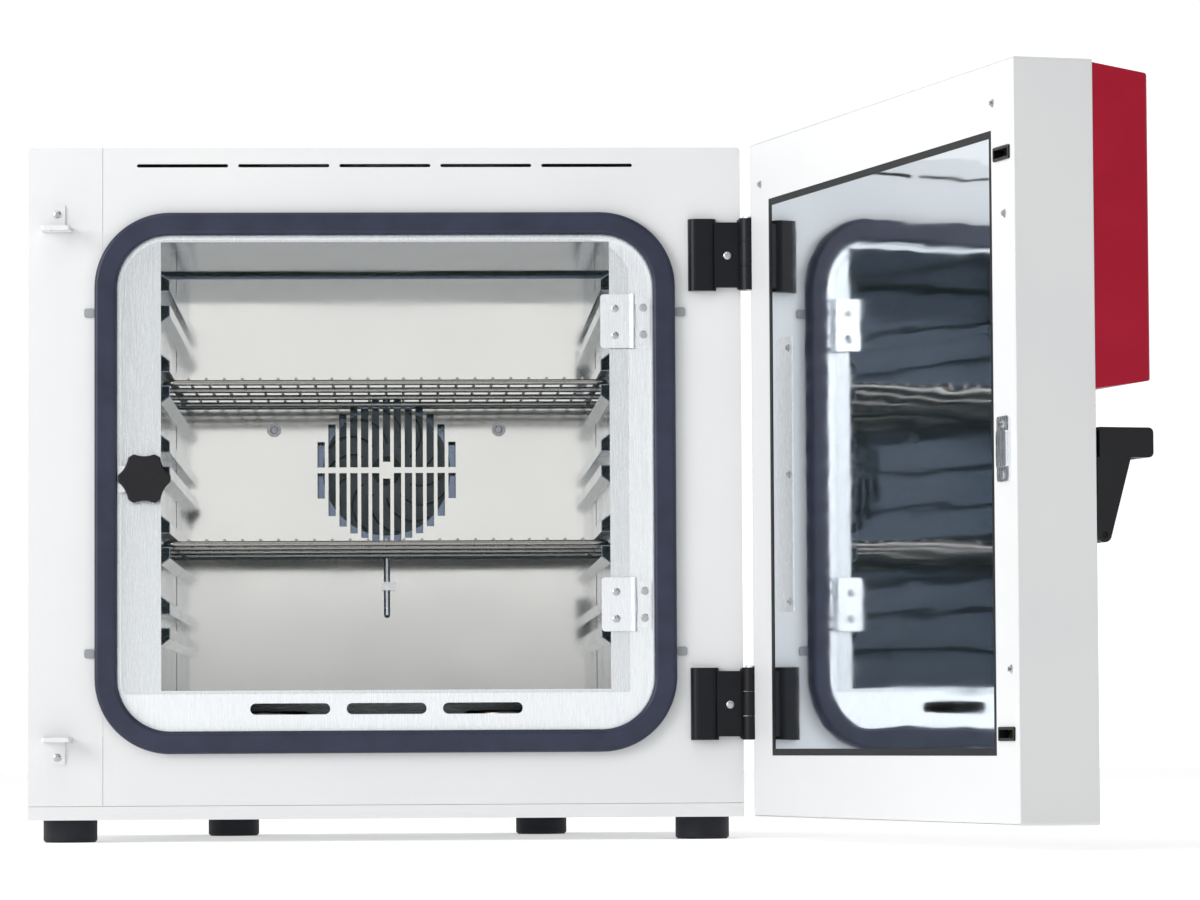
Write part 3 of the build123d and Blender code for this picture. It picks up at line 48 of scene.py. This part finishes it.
def sheetColour(hexText):
    # sRGB hex to the linear values that Blender's sockets take
    channels = [int(hexText[i:i + 2], 16) / 255 for i in (1, 3, 5)]
    linear = [c / 12.92 if c <= 0.04045 else ((c + 0.055) / 1.055) ** 2.4 for c in channels]
    return (*linear, 1.0)


def grey(value):
    return (value, value, value, 1.0)


def perMetre(sizeMm):
    # a noise's scale for patches of about this size
    return 1 / (sizeMm * mm)


def startMaterial(name):
    material = bpy.data.materials.new(name)
    material.use_nodes = True
    tree = material.node_tree
    shader = tree.nodes["Principled BSDF"]
    return material, tree, shader


def addNode(tree, kind, settings=None, links=None):
    # one node with its settings and the links into it: {"socket": value} or {"socket": (node, "output")}
    node = tree.nodes.new(kind)
    for key, value in (settings or {}).items():
        setattr(node, key, value)
    for key, value in (links or {}).items():
        if isinstance(value, tuple) and len(value) == 2 and isinstance(value[1], str):
            tree.links.new(value[0].outputs[value[1]], node.inputs[key])
        else:
            node.inputs[key].default_value = value
    return node


def addRange(tree, value, start, end, low, high):
    # maps a node's output from start..end to low..high
    return addNode(tree, "ShaderNodeMapRange", {}, {"Value": value, "From Min": start, "From Max": end,
                                                    "To Min": low, "To Max": high})


def setShader(shader, values):
    for key, value in values.items():
        shader.inputs[key].default_value = value


evenly = (1, 1, 1)


def patternSpace(tree, stretch=evenly):
    # Object coordinates, squeezed per axis so that a pattern can run along one of them
    where = addNode(tree, "ShaderNodeTexCoord")
    return addNode(tree, "ShaderNodeMapping", {}, {"Vector": (where, "Object"), "Scale": stretch})


mottle = {"detail": 3.0, "span": (0.32, 0.68)}


def addMottle(tree, shader, space, scale, low, high, socket):
    # soft patches between two values of one socket
    noise = addNode(tree, "ShaderNodeTexNoise", {},
                    {"Vector": (space, "Vector"), "Scale": scale, "Detail": mottle["detail"]})
    ramp = addNode(tree, "ShaderNodeValToRGB", {}, {"Fac": (noise, "Fac")})
    for element, position, value in zip(ramp.color_ramp.elements, mottle["span"], (low, high)):
        element.position = position
        element.color = value
    tree.links.new(ramp.outputs["Color"], shader.inputs[socket])


def addGrain(tree, shader, space, scale, strength, depth, detail=2.0):
    # fine relief from a noise of the given scale
    noise = addNode(tree, "ShaderNodeTexNoise", {},
                    {"Vector": (space, "Vector"), "Scale": scale, "Detail": detail})
    bump = addNode(tree, "ShaderNodeBump", {},
                   {"Height": (noise, "Fac"), "Strength": strength, "Distance": depth})
    tree.links.new(bump.outputs["Normal"], shader.inputs["Normal"])


# Materials

paintedSheetLook = {
    "colour": "#dadbdb", "shade": "#d6d7d8", "patchMm": 160, "roughness": 0.42, "ior": 1.5, "gloss": 0.35,
    "peelMm": 1.8, "peelStrength": 0.10, "peelDepth": 0.0002,
}


def makePaintedSheet():
    # powder coating, baked: an even light grey with a fine orange peel that softens its gloss
    look = paintedSheetLook
    material, tree, shader = startMaterial("PowderCoatLightGrey")
    space = patternSpace(tree)
    addMottle(tree, shader, space, perMetre(look["patchMm"]), sheetColour(look["colour"]),
              sheetColour(look["shade"]), "Base Color")
    addGrain(tree, shader, space, perMetre(look["peelMm"]), look["peelStrength"], look["peelDepth"])
    setShader(shader, {"Roughness": look["roughness"], "IOR": look["ior"],
                       "Specular IOR Level": look["gloss"]})
    return material


polishedSteelLook = {"patchMm": 90, "waveMm": 140, "waveStrength": 0.35, "waveDetail": 1.0}


def makePolishedSteel(name, colour, smooth, hazy, waveDepth, stretch=evenly):
    # bright rolled stainless steel: mirror-like, with the slow waves of thin sheet and hazier patches
    look = polishedSteelLook
    material, tree, shader = startMaterial(name)
    space = patternSpace(tree, stretch)
    addMottle(tree, shader, space, perMetre(look["patchMm"]), grey(smooth), grey(hazy), "Roughness")
    addGrain(tree, shader, space, perMetre(look["waveMm"]), look["waveStrength"], waveDepth,
             look["waveDetail"])
    setShader(shader, {"Base Color": sheetColour(colour), "Metallic": 1.0})
    return material


brushedSteelLook = {"bright": 0.22, "dull": 0.34, "strokeMm": 0.6, "strokeStrength": 0.12,
                    "strokeDepth": 0.0001}


def makeBrushedSteel(name, colour, stretch):
    # ground stainless steel: short parallel strokes that spread the reflections across them
    look = brushedSteelLook
    material, tree, shader = startMaterial(name)
    space = patternSpace(tree, stretch)
    scale = perMetre(look["strokeMm"])
    addMottle(tree, shader, space, scale, grey(look["bright"]), grey(look["dull"]), "Roughness")
    addGrain(tree, shader, space, scale, look["strokeStrength"], look["strokeDepth"])
    setShader(shader, {"Base Color": sheetColour(colour), "Metallic": 1.0})
    return material


rubberLook = {"patchMm": 25, "ior": 1.42, "gloss": 0.4, "grainMm": 0.8, "grainStrength": 0.15,
              "grainDepth": 0.0002}


def makeSealRubber(name, colour, worn, roughness):
    # extruded or moulded rubber with a soft sheen
    look = rubberLook
    material, tree, shader = startMaterial(name)
    space = patternSpace(tree)
    addMottle(tree, shader, space, perMetre(look["patchMm"]), sheetColour(colour), sheetColour(worn),
              "Base Color")
    addGrain(tree, shader, space, perMetre(look["grainMm"]), look["grainStrength"], look["grainDepth"])
    setShader(shader, {"Roughness": roughness, "IOR": look["ior"], "Specular IOR Level": look["gloss"]})
    return material


plasticLook = {"patchMm": 60, "ior": 1.53, "grainStrength": 0.22, "grainDepth": 0.00025}


def makeMouldedPlastic(name, colour, shade, roughness, grainMm, gloss):
    # a moulded or sprayed skin with a fine even grain
    look = plasticLook
    material, tree, shader = startMaterial(name)
    space = patternSpace(tree)
    addMottle(tree, shader, space, perMetre(look["patchMm"]), sheetColour(colour), sheetColour(shade),
              "Base Color")
    addGrain(tree, shader, space, perMetre(grainMm), look["grainStrength"], look["grainDepth"])
    setShader(shader, {"Roughness": roughness, "IOR": look["ior"], "Specular IOR Level": gloss})
    return material


woolLook = {"colour": "#a8935c", "shade": "#c9b67f", "stretch": (1, 1, 4), "tuftMm": 7, "roughness": 0.95,
            "fibreMm": 1.2, "fibreStrength": 0.8, "fibreDepth": 0.001, "fibreDetail": 6.0}


def makeWool():
    # mineral wool: yellow-brown felted fibres, fully matt
    look = woolLook
    material, tree, shader = startMaterial("MineralWool")
    space = patternSpace(tree, look["stretch"])
    addMottle(tree, shader, space, perMetre(look["tuftMm"]), sheetColour(look["colour"]),
              sheetColour(look["shade"]), "Base Color")
    addGrain(tree, shader, space, perMetre(look["fibreMm"]), look["fibreStrength"], look["fibreDepth"],
             look["fibreDetail"])
    setShader(shader, {"Roughness": look["roughness"]})
    return material


paneLook = {"through": "#4c615f", "glancingReflection": "#dfe9ea", "clearAlpha": 0.05, "glancingAlpha": 0.55,
            "blend": 0.5, "turnsAt": 0.35, "waveMm": 120, "waveStrength": 0.05, "waveDepth": 0.0004,
            "roughness": 0.02, "ior": 1.5}


def makePaneGlass():
    # float glass, clear when looked through; at a glancing angle it turns milky white, a painted reflection put
    # into its base colour and opacity
    look = paneLook
    material, tree, shader = startMaterial("FloatGlass")
    space = patternSpace(tree)
    addGrain(tree, shader, space, perMetre(look["waveMm"]), look["waveStrength"], look["waveDepth"])
    facing = addNode(tree, "ShaderNodeLayerWeight", {}, {"Blend": look["blend"]})
    ramp = addNode(tree, "ShaderNodeValToRGB", {}, {"Fac": (facing, "Facing")})
    ramp.color_ramp.elements[0].position = look["turnsAt"]
    ramp.color_ramp.elements[0].color = sheetColour(look["through"])
    # the white that the pane turns to at a glancing angle is a painted reflection
    ramp.color_ramp.elements[1].color = sheetColour(look["glancingReflection"])
    alpha = addRange(tree, (facing, "Facing"), look["turnsAt"], 1.0,
                     look["clearAlpha"], look["glancingAlpha"])
    tree.links.new(ramp.outputs["Color"], shader.inputs["Base Color"])
    tree.links.new(alpha.outputs["Result"], shader.inputs["Alpha"])
    setShader(shader, {"Roughness": look["roughness"], "IOR": look["ior"]})
    return material


fanLook = {"blade": "#14161c", "plate": "#8b9098", "plateY": 367.6 * mm, "roughness": 0.45, "gloss": 0.3,
           "grainMm": 0.8, "grainStrength": 0.2, "grainDepth": 0.0002}


def makeFanFinish():
    # black moulded blades on a bright back plate
    look = fanLook
    material, tree, shader = startMaterial("FanWheelFinish")
    space = patternSpace(tree)
    split = addNode(tree, "ShaderNodeSeparateXYZ", {}, {"Vector": (space, "Vector")})
    deep = addNode(tree, "ShaderNodeMath", {"operation": "GREATER_THAN"},
                   {0: (split, "Y"), 1: look["plateY"]})
    ramp = addNode(tree, "ShaderNodeValToRGB", {}, {"Fac": (deep, "Value")})
    ramp.color_ramp.elements[0].color = sheetColour(look["blade"])
    ramp.color_ramp.elements[1].color = sheetColour(look["plate"])
    tree.links.new(ramp.outputs["Color"], shader.inputs["Base Color"])
    addGrain(tree, shader, space, perMetre(look["grainMm"]), look["grainStrength"], look["grainDepth"])
    setShader(shader, {"Roughness": look["roughness"], "Specular IOR Level": look["gloss"]})
    return material


litLook = {"colour": "#ff5a3c", "patchMm": 3, "roughness": 0.4, "strength": 1.6}


def makeLitFigures():
    # lit display segments behind their window
    look = litLook
    colour = sheetColour(look["colour"])
    material, tree, shader = startMaterial("LitRedFigures")
    space = patternSpace(tree)
    addMottle(tree, shader, space, perMetre(look["patchMm"]), colour, colour, "Base Color")
    setShader(shader, {"Roughness": look["roughness"], "Emission Color": colour,
                       "Emission Strength": look["strength"]})
    return material


inkLook = {"patchMm": 2, "smooth": 0.45, "rough": 0.6}


def makeScreenInk(name, colour):
    # screen-printed ink with small patches of more and less gloss
    look = inkLook
    material, tree, shader = startMaterial(name)
    space = patternSpace(tree)
    addMottle(tree, shader, space, perMetre(look["patchMm"]), grey(look["smooth"]), grey(look["rough"]),
              "Roughness")
    setShader(shader, {"Base Color": sheetColour(colour)})
    return material


strokeLength = 30
along = {"x": (1 / strokeLength, 1, 1), "y": (1, 1 / strokeLength, 1), "z": (1, 1, 1 / strokeLength)}
looks = {
    "painted_sheet": makePaintedSheet(),
    "insulation_wool": makeWool(),
    "pane_glass": makePaneGlass(),
    "fan_plastic": makeFanFinish(),
    "lit_figures": makeLitFigures(),
    "white_print": makeScreenInk("WhiteScreenInk", "#e9e9e6"),
    "grey_print": makeScreenInk("GreyScreenInk", "#4b4e55"),
}

# slot: name, colour, roughness of the smooth and of the hazy patches, depth of the waves, and a stretch
polishedSteels = {
    # the chamber's colour is far darker than bright steel: painted shade of the chamber's walls and ceiling
    "polished_steel": ("BrightStainlessChamber", "#667082", 0.06, 0.12, 0.0010),
    "baffle_steel": ("BrightStainlessBaffle", "#cdcdca", 0.05, 0.09, 0.0007),
    "door_mirror": ("BrightStainlessDoorPanel", "#d9e0e7", 0.03, 0.06, 0.0005, (1, 1, 6)),
}
# slot: name, colour, direction of the strokes
brushedSteels = {
    "brushed_steel": ("GroundStainless", "#e9ecef", along["z"]),
    "rack_wire": ("DrawnStainlessWire", "#a39f9b", along["y"]),
    "jacket_sheet": ("AluminisedSheet", "#c4c6c8", along["x"]),
    "screw_steel": ("ZincPlatedScrewSteel", "#b4b6ba", evenly),
    "motor_metal": ("CastMotorCan", "#a9abae", along["y"]),
    "heater_metal": ("HeaterSheathSteel", "#8f8a84", along["y"]),
}
# slot: name, colour, worn colour, roughness
rubbers = {
    "gasket_rubber": ("SlateSiliconeRubber", "#262a3b", "#2d3245", 0.34),
    "panel_seal": ("BlackSealantBead", "#08090b", "#0f1013", 0.5),
    "foot_rubber": ("BlackFootRubber", "#15171d", "#1b1d25", 0.6),
}
# slot: name, colour, second colour, roughness, grain in mm, gloss
plastics = {
    "black_metal": ("BlackPowderCoat", "#0a0b10", "#0f1118", 0.36, 1.2, 0.2),
    "black_plastic": ("BlackAbsPlastic", "#0b0c10", "#101116", 0.42, 0.5, 0.3),
    "clip_plastic": ("GreyNylonClip", "#8d9094", "#9a9da1", 0.5, 0.6, 0.4),
    "red_plastic": ("CrimsonAbsPlastic", "#a3122c", "#9b0f29", 0.38, 0.7, 0.15),
    "display_plastic": ("SmokedAcrylicWindow", "#0a0c10", "#0d1015", 0.08, 4.0, 0.5),
    "key_plastic": ("LightGreyKeyPlastic", "#c6c9cc", "#cfd2d5", 0.42, 0.5, 0.4),
    "board_parts": ("GreenBoardLaminate", "#1c5a33", "#236b3d", 0.5, 1.0, 0.4),
    "spacer_plastic": ("BlackSpacerPlastic", "#131417", "#191a1e", 0.5, 0.6, 0.3),
}
for make, table in ((makePolishedSteel, polishedSteels), (makeBrushedSteel, brushedSteels),
                    (makeSealRubber, rubbers), (makeMouldedPlastic, plastics)):
    looks.update({slot: make(*values) for slot, values in table.items()})

# these nodes look different from the rest of their material slot
lookOfNode = {"door_mirror_panel": "door_mirror", "shelf_upper": "rack_wire", "shelf_lower": "rack_wire",
              "door_panel_seal": "panel_seal", "rear_baffle": "baffle_steel"}
for entry in frame["record"]["subparts"]:
    name = entry["node"]
    node = nodes[name]
    look = looks[lookOfNode.get(name, entry["material_slot"])]
    node.data.materials.clear()
    node.data.materials.append(look)
print("materials made:", len(looks))


# The marks of the outer door are modelled with the door shut, in the cabinet's axes, and swung by this matrix

doorSwing = {"angle": math.radians(-joints["outer_door_hinge"]["range_deg"][0]),
             "hinge": Vector(joints["outer_door_hinge"]["pos_m"])}
doorMatrix = (Matrix.Translation(doorSwing["hinge"])
              @ Matrix.Rotation(doorSwing["angle"], 4, "Z")
              @ Matrix.Translation(-doorSwing["hinge"]))


def clearSelection():
    bpy.ops.object.select_all(action="DESELECT")


def useOnly(piece):
    clearSelection()
    piece.select_set(True)
    bpy.context.view_layer.objects.active = piece


def settle(piece):
    # puts the piece's place into its mesh, so that its object sits at the origin
    useOnly(piece)
    bpy.context.view_layer.update()
    bpy.ops.object.transform_apply(location=True, rotation=True, scale=True)
    return piece


def joinPieces(parts):
    clearSelection()
    for part in parts:
        part.select_set(True)
    bpy.context.view_layer.objects.active = parts[0]
    bpy.ops.object.join()
    return bpy.context.object


def pickFaces(piece, test):
    # selects the faces whose middle and normal pass the test, in edit mode's face mode
    bpy.ops.object.mode_set(mode="EDIT")
    bpy.ops.mesh.select_mode(type="FACE")
    bpy.ops.mesh.select_all(action="DESELECT")
    bpy.ops.object.mode_set(mode="OBJECT")
    for face in piece.data.polygons:
        face.select = test(face.center, face.normal)
    bpy.ops.object.mode_set(mode="EDIT")


def bevelEdges(offset):
    # bevels every edge of the active piece
    bpy.ops.object.mode_set(mode="EDIT")
    bpy.ops.mesh.select_all(action="SELECT")
    bpy.ops.mesh.bevel(offset=offset, segments=1)
    bpy.ops.object.mode_set(mode="OBJECT")


def finishPiece(piece, name, look, body):
    piece.name = name
    piece.data.name = name
    piece.data.materials.clear()
    piece.data.materials.append(looks[look])
    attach(piece, body)
    return piece


def solidPoints(name):
    # the separate solids of a CAD node, each as a list of its points
    pointsPerMetre = 1e5
    mesh = nodes[name].data
    places = {}
    keyOf = []
    for vertex in mesh.vertices:
        key = tuple(round(c * pointsPerMetre) for c in vertex.co)
        places.setdefault(key, vertex.co.copy())
        keyOf.append(key)
    leader = {key: key for key in places}

    def find(key):
        while leader[key] != key:
            leader[key] = leader[leader[key]]
            key = leader[key]
        return key

    for face in mesh.polygons:
        first = find(keyOf[face.vertices[0]])
        for index in face.vertices[1:]:
            leader[find(keyOf[index])] = first
    groups = {}
    for key, place in places.items():
        groups.setdefault(find(key), []).append(place)
    return list(groups.values())


# Screws: domed heads with a cross, in place of the CAD ones.
# Known fault: the cylinder's place isn't put into its mesh, so the head's middle, not its top, is at z = 0.
# Its rim then folds over and turns the mesh inside out, the cross stands up instead of being cut in, and the
# heads lie 0.8 mm low. The sink keeps the crosses clear of the shut door.

screwLook = {"headRadius": 3.6 * mm, "headHeight": 1.6 * mm, "sides": 24, "ring": 0.3, "upward": 0.9,
             "domeStart": 0.4, "domeFall": 0.55, "recessWidth": 0.9 * mm, "recessDepth": 0.9 * mm,
             "recessSpan": 1.15, "smoothDegrees": 40, "turnStep": 0.7, "sink": 0.8 * mm}


def makeScrewHead():
    # one head along +Z
    look = screwLook
    radius, height = look["headRadius"], look["headHeight"]
    clearSelection()
    bpy.ops.mesh.primitive_cylinder_add(vertices=look["sides"], radius=radius, depth=height,
                                        location=(0, 0, -height / 2))
    head = bpy.context.object
    pickFaces(head, lambda middle, normal: normal.z > look["upward"])
    bpy.ops.mesh.inset(thickness=radius * look["ring"], depth=0)
    bpy.ops.mesh.inset(thickness=radius * look["ring"], depth=0)
    bpy.ops.object.mode_set(mode="OBJECT")
    for vertex in head.data.vertices:
        reach = math.hypot(vertex.co.x, vertex.co.y) / radius
        if vertex.co.z > -height * look["domeStart"]:
            vertex.co.z = -height * look["domeFall"] * reach ** 3
    cutters = []
    for turn in (0, math.pi / 2):
        clearSelection()
        bpy.ops.mesh.primitive_cube_add(size=1, location=(0, 0, 0), rotation=(0, 0, turn),
                                        scale=(radius * look["recessSpan"], look["recessWidth"],
                                               look["recessDepth"] * 2))
        cutters.append(bpy.context.object)
    for cutter in cutters:
        useOnly(head)
        cut = head.modifiers.new("recess", "BOOLEAN")
        cut.object = cutter
        cut.operation = "DIFFERENCE"
        cut.solver = "EXACT"
        bpy.ops.object.modifier_apply(modifier="recess")
        bpy.data.objects.remove(cutter)
    useOnly(head)
    bpy.ops.object.shade_smooth_by_angle(angle=math.radians(look["smoothDegrees"]))
    return head


def placeScrews(model, nodeName, name, outward, body):
    # one head on each solid of the node, each turned a little further than the one before
    look = screwLook
    spin = Vector((0, 0, 1)).rotation_difference(outward).to_matrix().to_4x4()
    copies = []
    for number, points in enumerate(sorted(solidPoints(nodeName), key=lambda group: tuple(group[0]))):
        top = max(point.dot(outward) for point in points)
        crown = [point for point in points if point.dot(outward) > top - look["headHeight"]]
        low = Vector([min(point[i] for point in crown) for i in range(3)])
        high = Vector([max(point[i] for point in crown) for i in range(3)])
        middle = (low + high) / 2
        middle += outward * (top - look["sink"] - middle.dot(outward))
        copy = model.copy()
        copy.data = model.data.copy()
        bpy.context.scene.collection.objects.link(copy)
        tilt = Matrix.Rotation(number * look["turnStep"], 4, "Z")
        copy.data.transform(Matrix.Translation(middle) @ spin @ tilt)
        copies.append(copy)
    piece = finishPiece(joinPieces(copies), name, "screw_steel", body)
    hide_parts(nodeName)


forward = Vector((0, -1, 0))
backward = Vector((0, 1, 0))
doorInward = backward.copy()
doorInward.rotate(Matrix.Rotation(doorSwing["angle"], 3, "Z"))
screwModel = makeScrewHead()
placeScrews(screwModel, "cabinet_screws", "CabinetFrontScrews", forward, "cabinet")
placeScrews(screwModel, "door_screws", "DoorInnerScrews", doorInward, "outer_door")
placeScrews(screwModel, "rear_screws", "RearPanelScrews", backward, "cabinet")
placeScrews(screwModel, "glass_hinge_screws", "GlassHingeScrews", forward, "glass_door")
bpy.data.objects.remove(screwModel)
print("screws placed")


# Instrument housing: figures, scale and key marks, lit or printed on its front

panelMarks = {
    "centreX": -245 * mm, "faceY": -123.5 * mm, "inkDepth": 0.16 * mm, "barBevel": 0.2, "letterSteps": 3,
}
figureMarks = {
    "text": "37.0", "windowZ": 562 * mm, "windowSink": 0.15 * mm, "lift": 0.12 * mm,
    "height": 17 * mm, "width": 9.5 * mm, "step": 13.5 * mm, "startSteps": 1.6,
    "segment": 2.0 * mm, "dotGap": 1.2, "flatTrim": 1.3, "uprightTrim": 0.35,
    "unit": "°C", "unitSize": 8 * mm, "unitGap": 1.5 * mm, "unitRise": 0.28,
}
keyMarks = {"z": 518 * mm, "pitch": 22 * mm, "proud": 2.0 * mm, "radius": 2.6 * mm, "bevel": 0.3}
# body: sides of its mark and its turn in degrees, a triangle or a round spot
keyShapes = {"button_down": (3, 180), "button_set": (20, 0), "button_up": (3, 0)}
dialMarks = {
    "z": 432 * mm, "ring": 19.2 * mm, "tickLength": 2.6 * mm, "tickWidth": 0.6 * mm, "ticks": 28,
    "startDegrees": -135, "sweepDegrees": 270,
    "figures": (30, 40, 50, 60, 70), "figureRing": 25.5 * mm, "figureSize": 4.6 * mm,
}


def addBar(middle, size, turn=0.0):
    # a small bevelled bar that faces the front, turned about the door's depth
    clearSelection()
    bpy.ops.mesh.primitive_cube_add(size=1, location=middle, rotation=(0, turn, 0), scale=size)
    bar = settle(bpy.context.object)
    bevelEdges(min(size) * panelMarks["barBevel"])
    return bar


def addWords(text, middle, size):
    clearSelection()
    bpy.ops.object.text_add(location=middle, rotation=(math.radians(90), 0, 0))
    words = bpy.context.object
    words.data.body = text
    words.data.size = size
    words.data.align_x = "CENTER"
    words.data.align_y = "CENTER"
    words.data.extrude = panelMarks["inkDepth"] / 2
    words.data.resolution_u = panelMarks["letterSteps"]
    bpy.ops.object.convert(target="MESH")
    return settle(bpy.context.object)


# which of the seven segments each digit of the display lights, and where each segment lies: across, up
segmentsOf = {"0": "abcdef", "3": "abgcd", "7": "abc"}
segmentPlace = {"a": (0, 1), "g": (0, 0), "d": (0, -1),
                "f": (-1, 0.5), "b": (1, 0.5), "e": (-1, -0.5), "c": (1, -0.5)}


def makeFigures():
    # seven-segment figures behind the window's front
    look = figureMarks
    ink = panelMarks["inkDepth"]
    y = panelMarks["faceY"] + look["windowSink"] - look["lift"]
    width, height, thick = look["width"], look["height"], look["segment"]
    left = panelMarks["centreX"] - look["startSteps"] * look["step"] + width / 2
    bars = []
    for letter in look["text"]:
        if letter == ".":
            x = left - look["step"] + width / 2 + thick * look["dotGap"]
            z = look["windowZ"] - height / 2 + thick / 2
            bars.append(addBar((x, y, z), (thick, ink, thick)))
            continue
        for segment in segmentsOf[letter]:
            across, up = segmentPlace[segment]
            place = (left + across * (width - thick) / 2, y, look["windowZ"] + up * (height - thick) / 2)
            flatSize = (width - thick * look["flatTrim"], ink, thick)
            uprightSize = (thick, ink, (height - thick) / 2 - thick * look["uprightTrim"])
            bars.append(addBar(place, flatSize if across == 0 else uprightSize))
        left += look["step"]
    unitPlace = (left + look["unitGap"], y, look["windowZ"] + height * look["unitRise"])
    bars.append(addWords(look["unit"], unitPlace, look["unitSize"]))
    piece = joinPieces(bars)
    piece.data.transform(doorMatrix)
    finishPiece(piece, "DisplayFigures", "lit_figures", "outer_door")


def makeDialScale():
    # ticks and plain figures round the safety thermostat
    look = dialMarks
    ink = panelMarks["inkDepth"]
    y = panelMarks["faceY"] - ink / 2

    def turnOf(number, count):
        return math.radians(look["startDegrees"] + look["sweepDegrees"] * number / (count - 1))

    def onRing(reach, turn):
        return (panelMarks["centreX"] + reach * math.sin(turn), y, look["z"] + reach * math.cos(turn))

    parts = []
    for number in range(look["ticks"]):
        turn = turnOf(number, look["ticks"])
        place = onRing(look["ring"] + look["tickLength"] / 2, turn)
        parts.append(addBar(place, (look["tickWidth"], ink, look["tickLength"]), turn))
    for number, figure in enumerate(look["figures"]):
        place = onRing(look["figureRing"], turnOf(number, len(look["figures"])))
        parts.append(addWords(str(figure), place, look["figureSize"]))
    piece = joinPieces(parts)
    piece.data.transform(doorMatrix)
    finishPiece(piece, "ThermostatScale", "white_print", "outer_door")


def makeKeyMarks():
    # a triangle on each outer key and a round spot on the middle one
    look = keyMarks
    ink = panelMarks["inkDepth"]
    y = panelMarks["faceY"] - look["proud"] - ink / 2
    for number, (body, (sides, turn)) in enumerate(keyShapes.items()):
        clearSelection()
        place = (panelMarks["centreX"] + (number - 1) * look["pitch"], y, look["z"])
        bpy.ops.mesh.primitive_cylinder_add(vertices=sides, radius=look["radius"], depth=ink, location=place,
                                            rotation=(math.radians(90), math.radians(turn), 0))
        mark = settle(bpy.context.object)
        bevelEdges(ink * look["bevel"])
        mark.data.transform(doorMatrix)
        finishPiece(mark, "KeyMark" + body.split("_")[1].capitalize(), "grey_print", body)


makeFigures()
makeDialScale()
makeKeyMarks()
print("instrument panel marked")


# Studio: pale floor, soft light, camera where the photograph was taken

studio = {
    "floorColour": "#f4f4f4", "floorSize": 24.0, "floorRoughness": 0.8, "floorGlow": 0.3,
    "topPlace": (-0.5, -1.5, 2.6), "topSize": 2.0, "topPower": 20,
    "keyPlace": (-3.2, -2.4, 1.6), "keySize": 2.0, "keyPower": 92,
    "aim": (0.1, 0.0, 0.35),
}


def makeFloor():
    clearSelection()
    bpy.ops.mesh.primitive_plane_add(size=studio["floorSize"], location=(0, 0, 0))
    floor = bpy.context.object
    floor.name = "StudioFloor"
    material, tree, shader = startMaterial("StudioFloorPaper")
    setShader(shader, {"Base Color": sheetColour(studio["floorColour"]),
                       "Roughness": studio["floorRoughness"],
                       "Emission Color": sheetColour("#ffffff"), "Emission Strength": studio["floorGlow"]})
    floor.data.materials.append(material)


def makeLight(name, place, size, power):
    clearSelection()
    bpy.ops.object.light_add(type="AREA", location=place)
    light = bpy.context.object
    light.name = name
    light.data.size = size
    light.data.energy = power
    light.rotation_euler = (Vector(studio["aim"]) - light.location).to_track_quat("-Z", "Y").to_euler()


makeFloor()
makeLight("KeySoftbox", studio["keyPlace"], studio["keySize"], studio["keyPower"])
makeLight("TopSoftbox", studio["topPlace"], studio["topSize"], studio["topPower"])

# Strength of the white surroundings: behind the object, and in front of it by height
surround = {"behind": 1.12, "halfTurn": 0.15, "horizonStart": -0.01, "horizonEnd": 0.035, "horizon": 0.3,
            "band": 1.45, "bandEnd": 0.10, "upperStart": 0.22, "upper": 0.18, "sideFall": 0.16}


def makeWorld():
    # white behind the object; in front a softer white that falls off to the right and darkens at the horizon
    look = surround
    world = bpy.data.worlds.new("StudioWorld")
    world.use_nodes = True
    bpy.context.scene.world = world
    tree = world.node_tree
    where = addNode(tree, "ShaderNodeTexCoord")
    split = addNode(tree, "ShaderNodeSeparateXYZ", {}, {"Vector": (where, "Generated")})
    rise = addRange(tree, (split, "Z"), look["horizonStart"], look["horizonEnd"],
                    look["horizon"], look["band"])
    fade = addRange(tree, (split, "Z"), look["bandEnd"], look["upperStart"], 1.0, look["upper"])
    arch = addNode(tree, "ShaderNodeMath", {"operation": "MULTIPLY"},
                   {0: (rise, "Result"), 1: (fade, "Result")})
    side = addRange(tree, (split, "X"), -1.0, 1.0, 1 + look["sideFall"], 1 - look["sideFall"])
    front = addNode(tree, "ShaderNodeMath", {"operation": "MULTIPLY"},
                    {0: (arch, "Value"), 1: (side, "Result")})
    share = addRange(tree, (split, "Y"), -look["halfTurn"], look["halfTurn"], 0.0, 1.0)
    mix = addNode(tree, "ShaderNodeMix", {"data_type": "FLOAT"},
                  {"Factor": (share, "Result"), "A": (front, "Value"), "B": look["behind"]})
    tree.nodes["Background"].inputs["Color"].default_value = sheetColour("#ffffff")
    tree.links.new(mix.outputs["Result"], tree.nodes["Background"].inputs["Strength"])


makeWorld()
bpy.context.scene.view_settings.view_transform = "Standard"

# Read off the photograph: the camera's place, its focal length in a width of 1200 pixels, and the pixel
# straight ahead of it. The camera is turned from there to the middle of the picture, so it needs no shift.
photoView = {"place": (0.010, -4.675, 0.085), "focalPixels": 5262, "aheadX": 398, "aheadY": 745,
             "width": 1200, "height": 900, "rollDegrees": 0.25, "sensor": 36.0, "clipEnd": 60}


def makeCamera():
    view = photoView
    clearSelection()
    bpy.ops.object.camera_add(location=view["place"],
                              rotation=(math.radians(90), math.radians(view["rollDegrees"]), 0))
    camera = bpy.context.object
    camera.name = "PhotoCamera"
    camera.data.sensor_width = view["sensor"]
    camera.data.lens = view["focalPixels"] / view["width"] * view["sensor"]
    ahead = Vector((0, 0, -1))
    middle = Vector(((view["width"] / 2 - view["aheadX"]) / view["focalPixels"],
                     (view["aheadY"] - view["height"] / 2) / view["focalPixels"], -1))
    turn = camera.rotation_euler.to_quaternion() @ ahead.rotation_difference(middle)
    camera.rotation_euler = turn.to_euler()
    camera.data.clip_end = view["clipEnd"]
    bpy.context.scene.camera = camera


makeCamera()
print("studio ready")
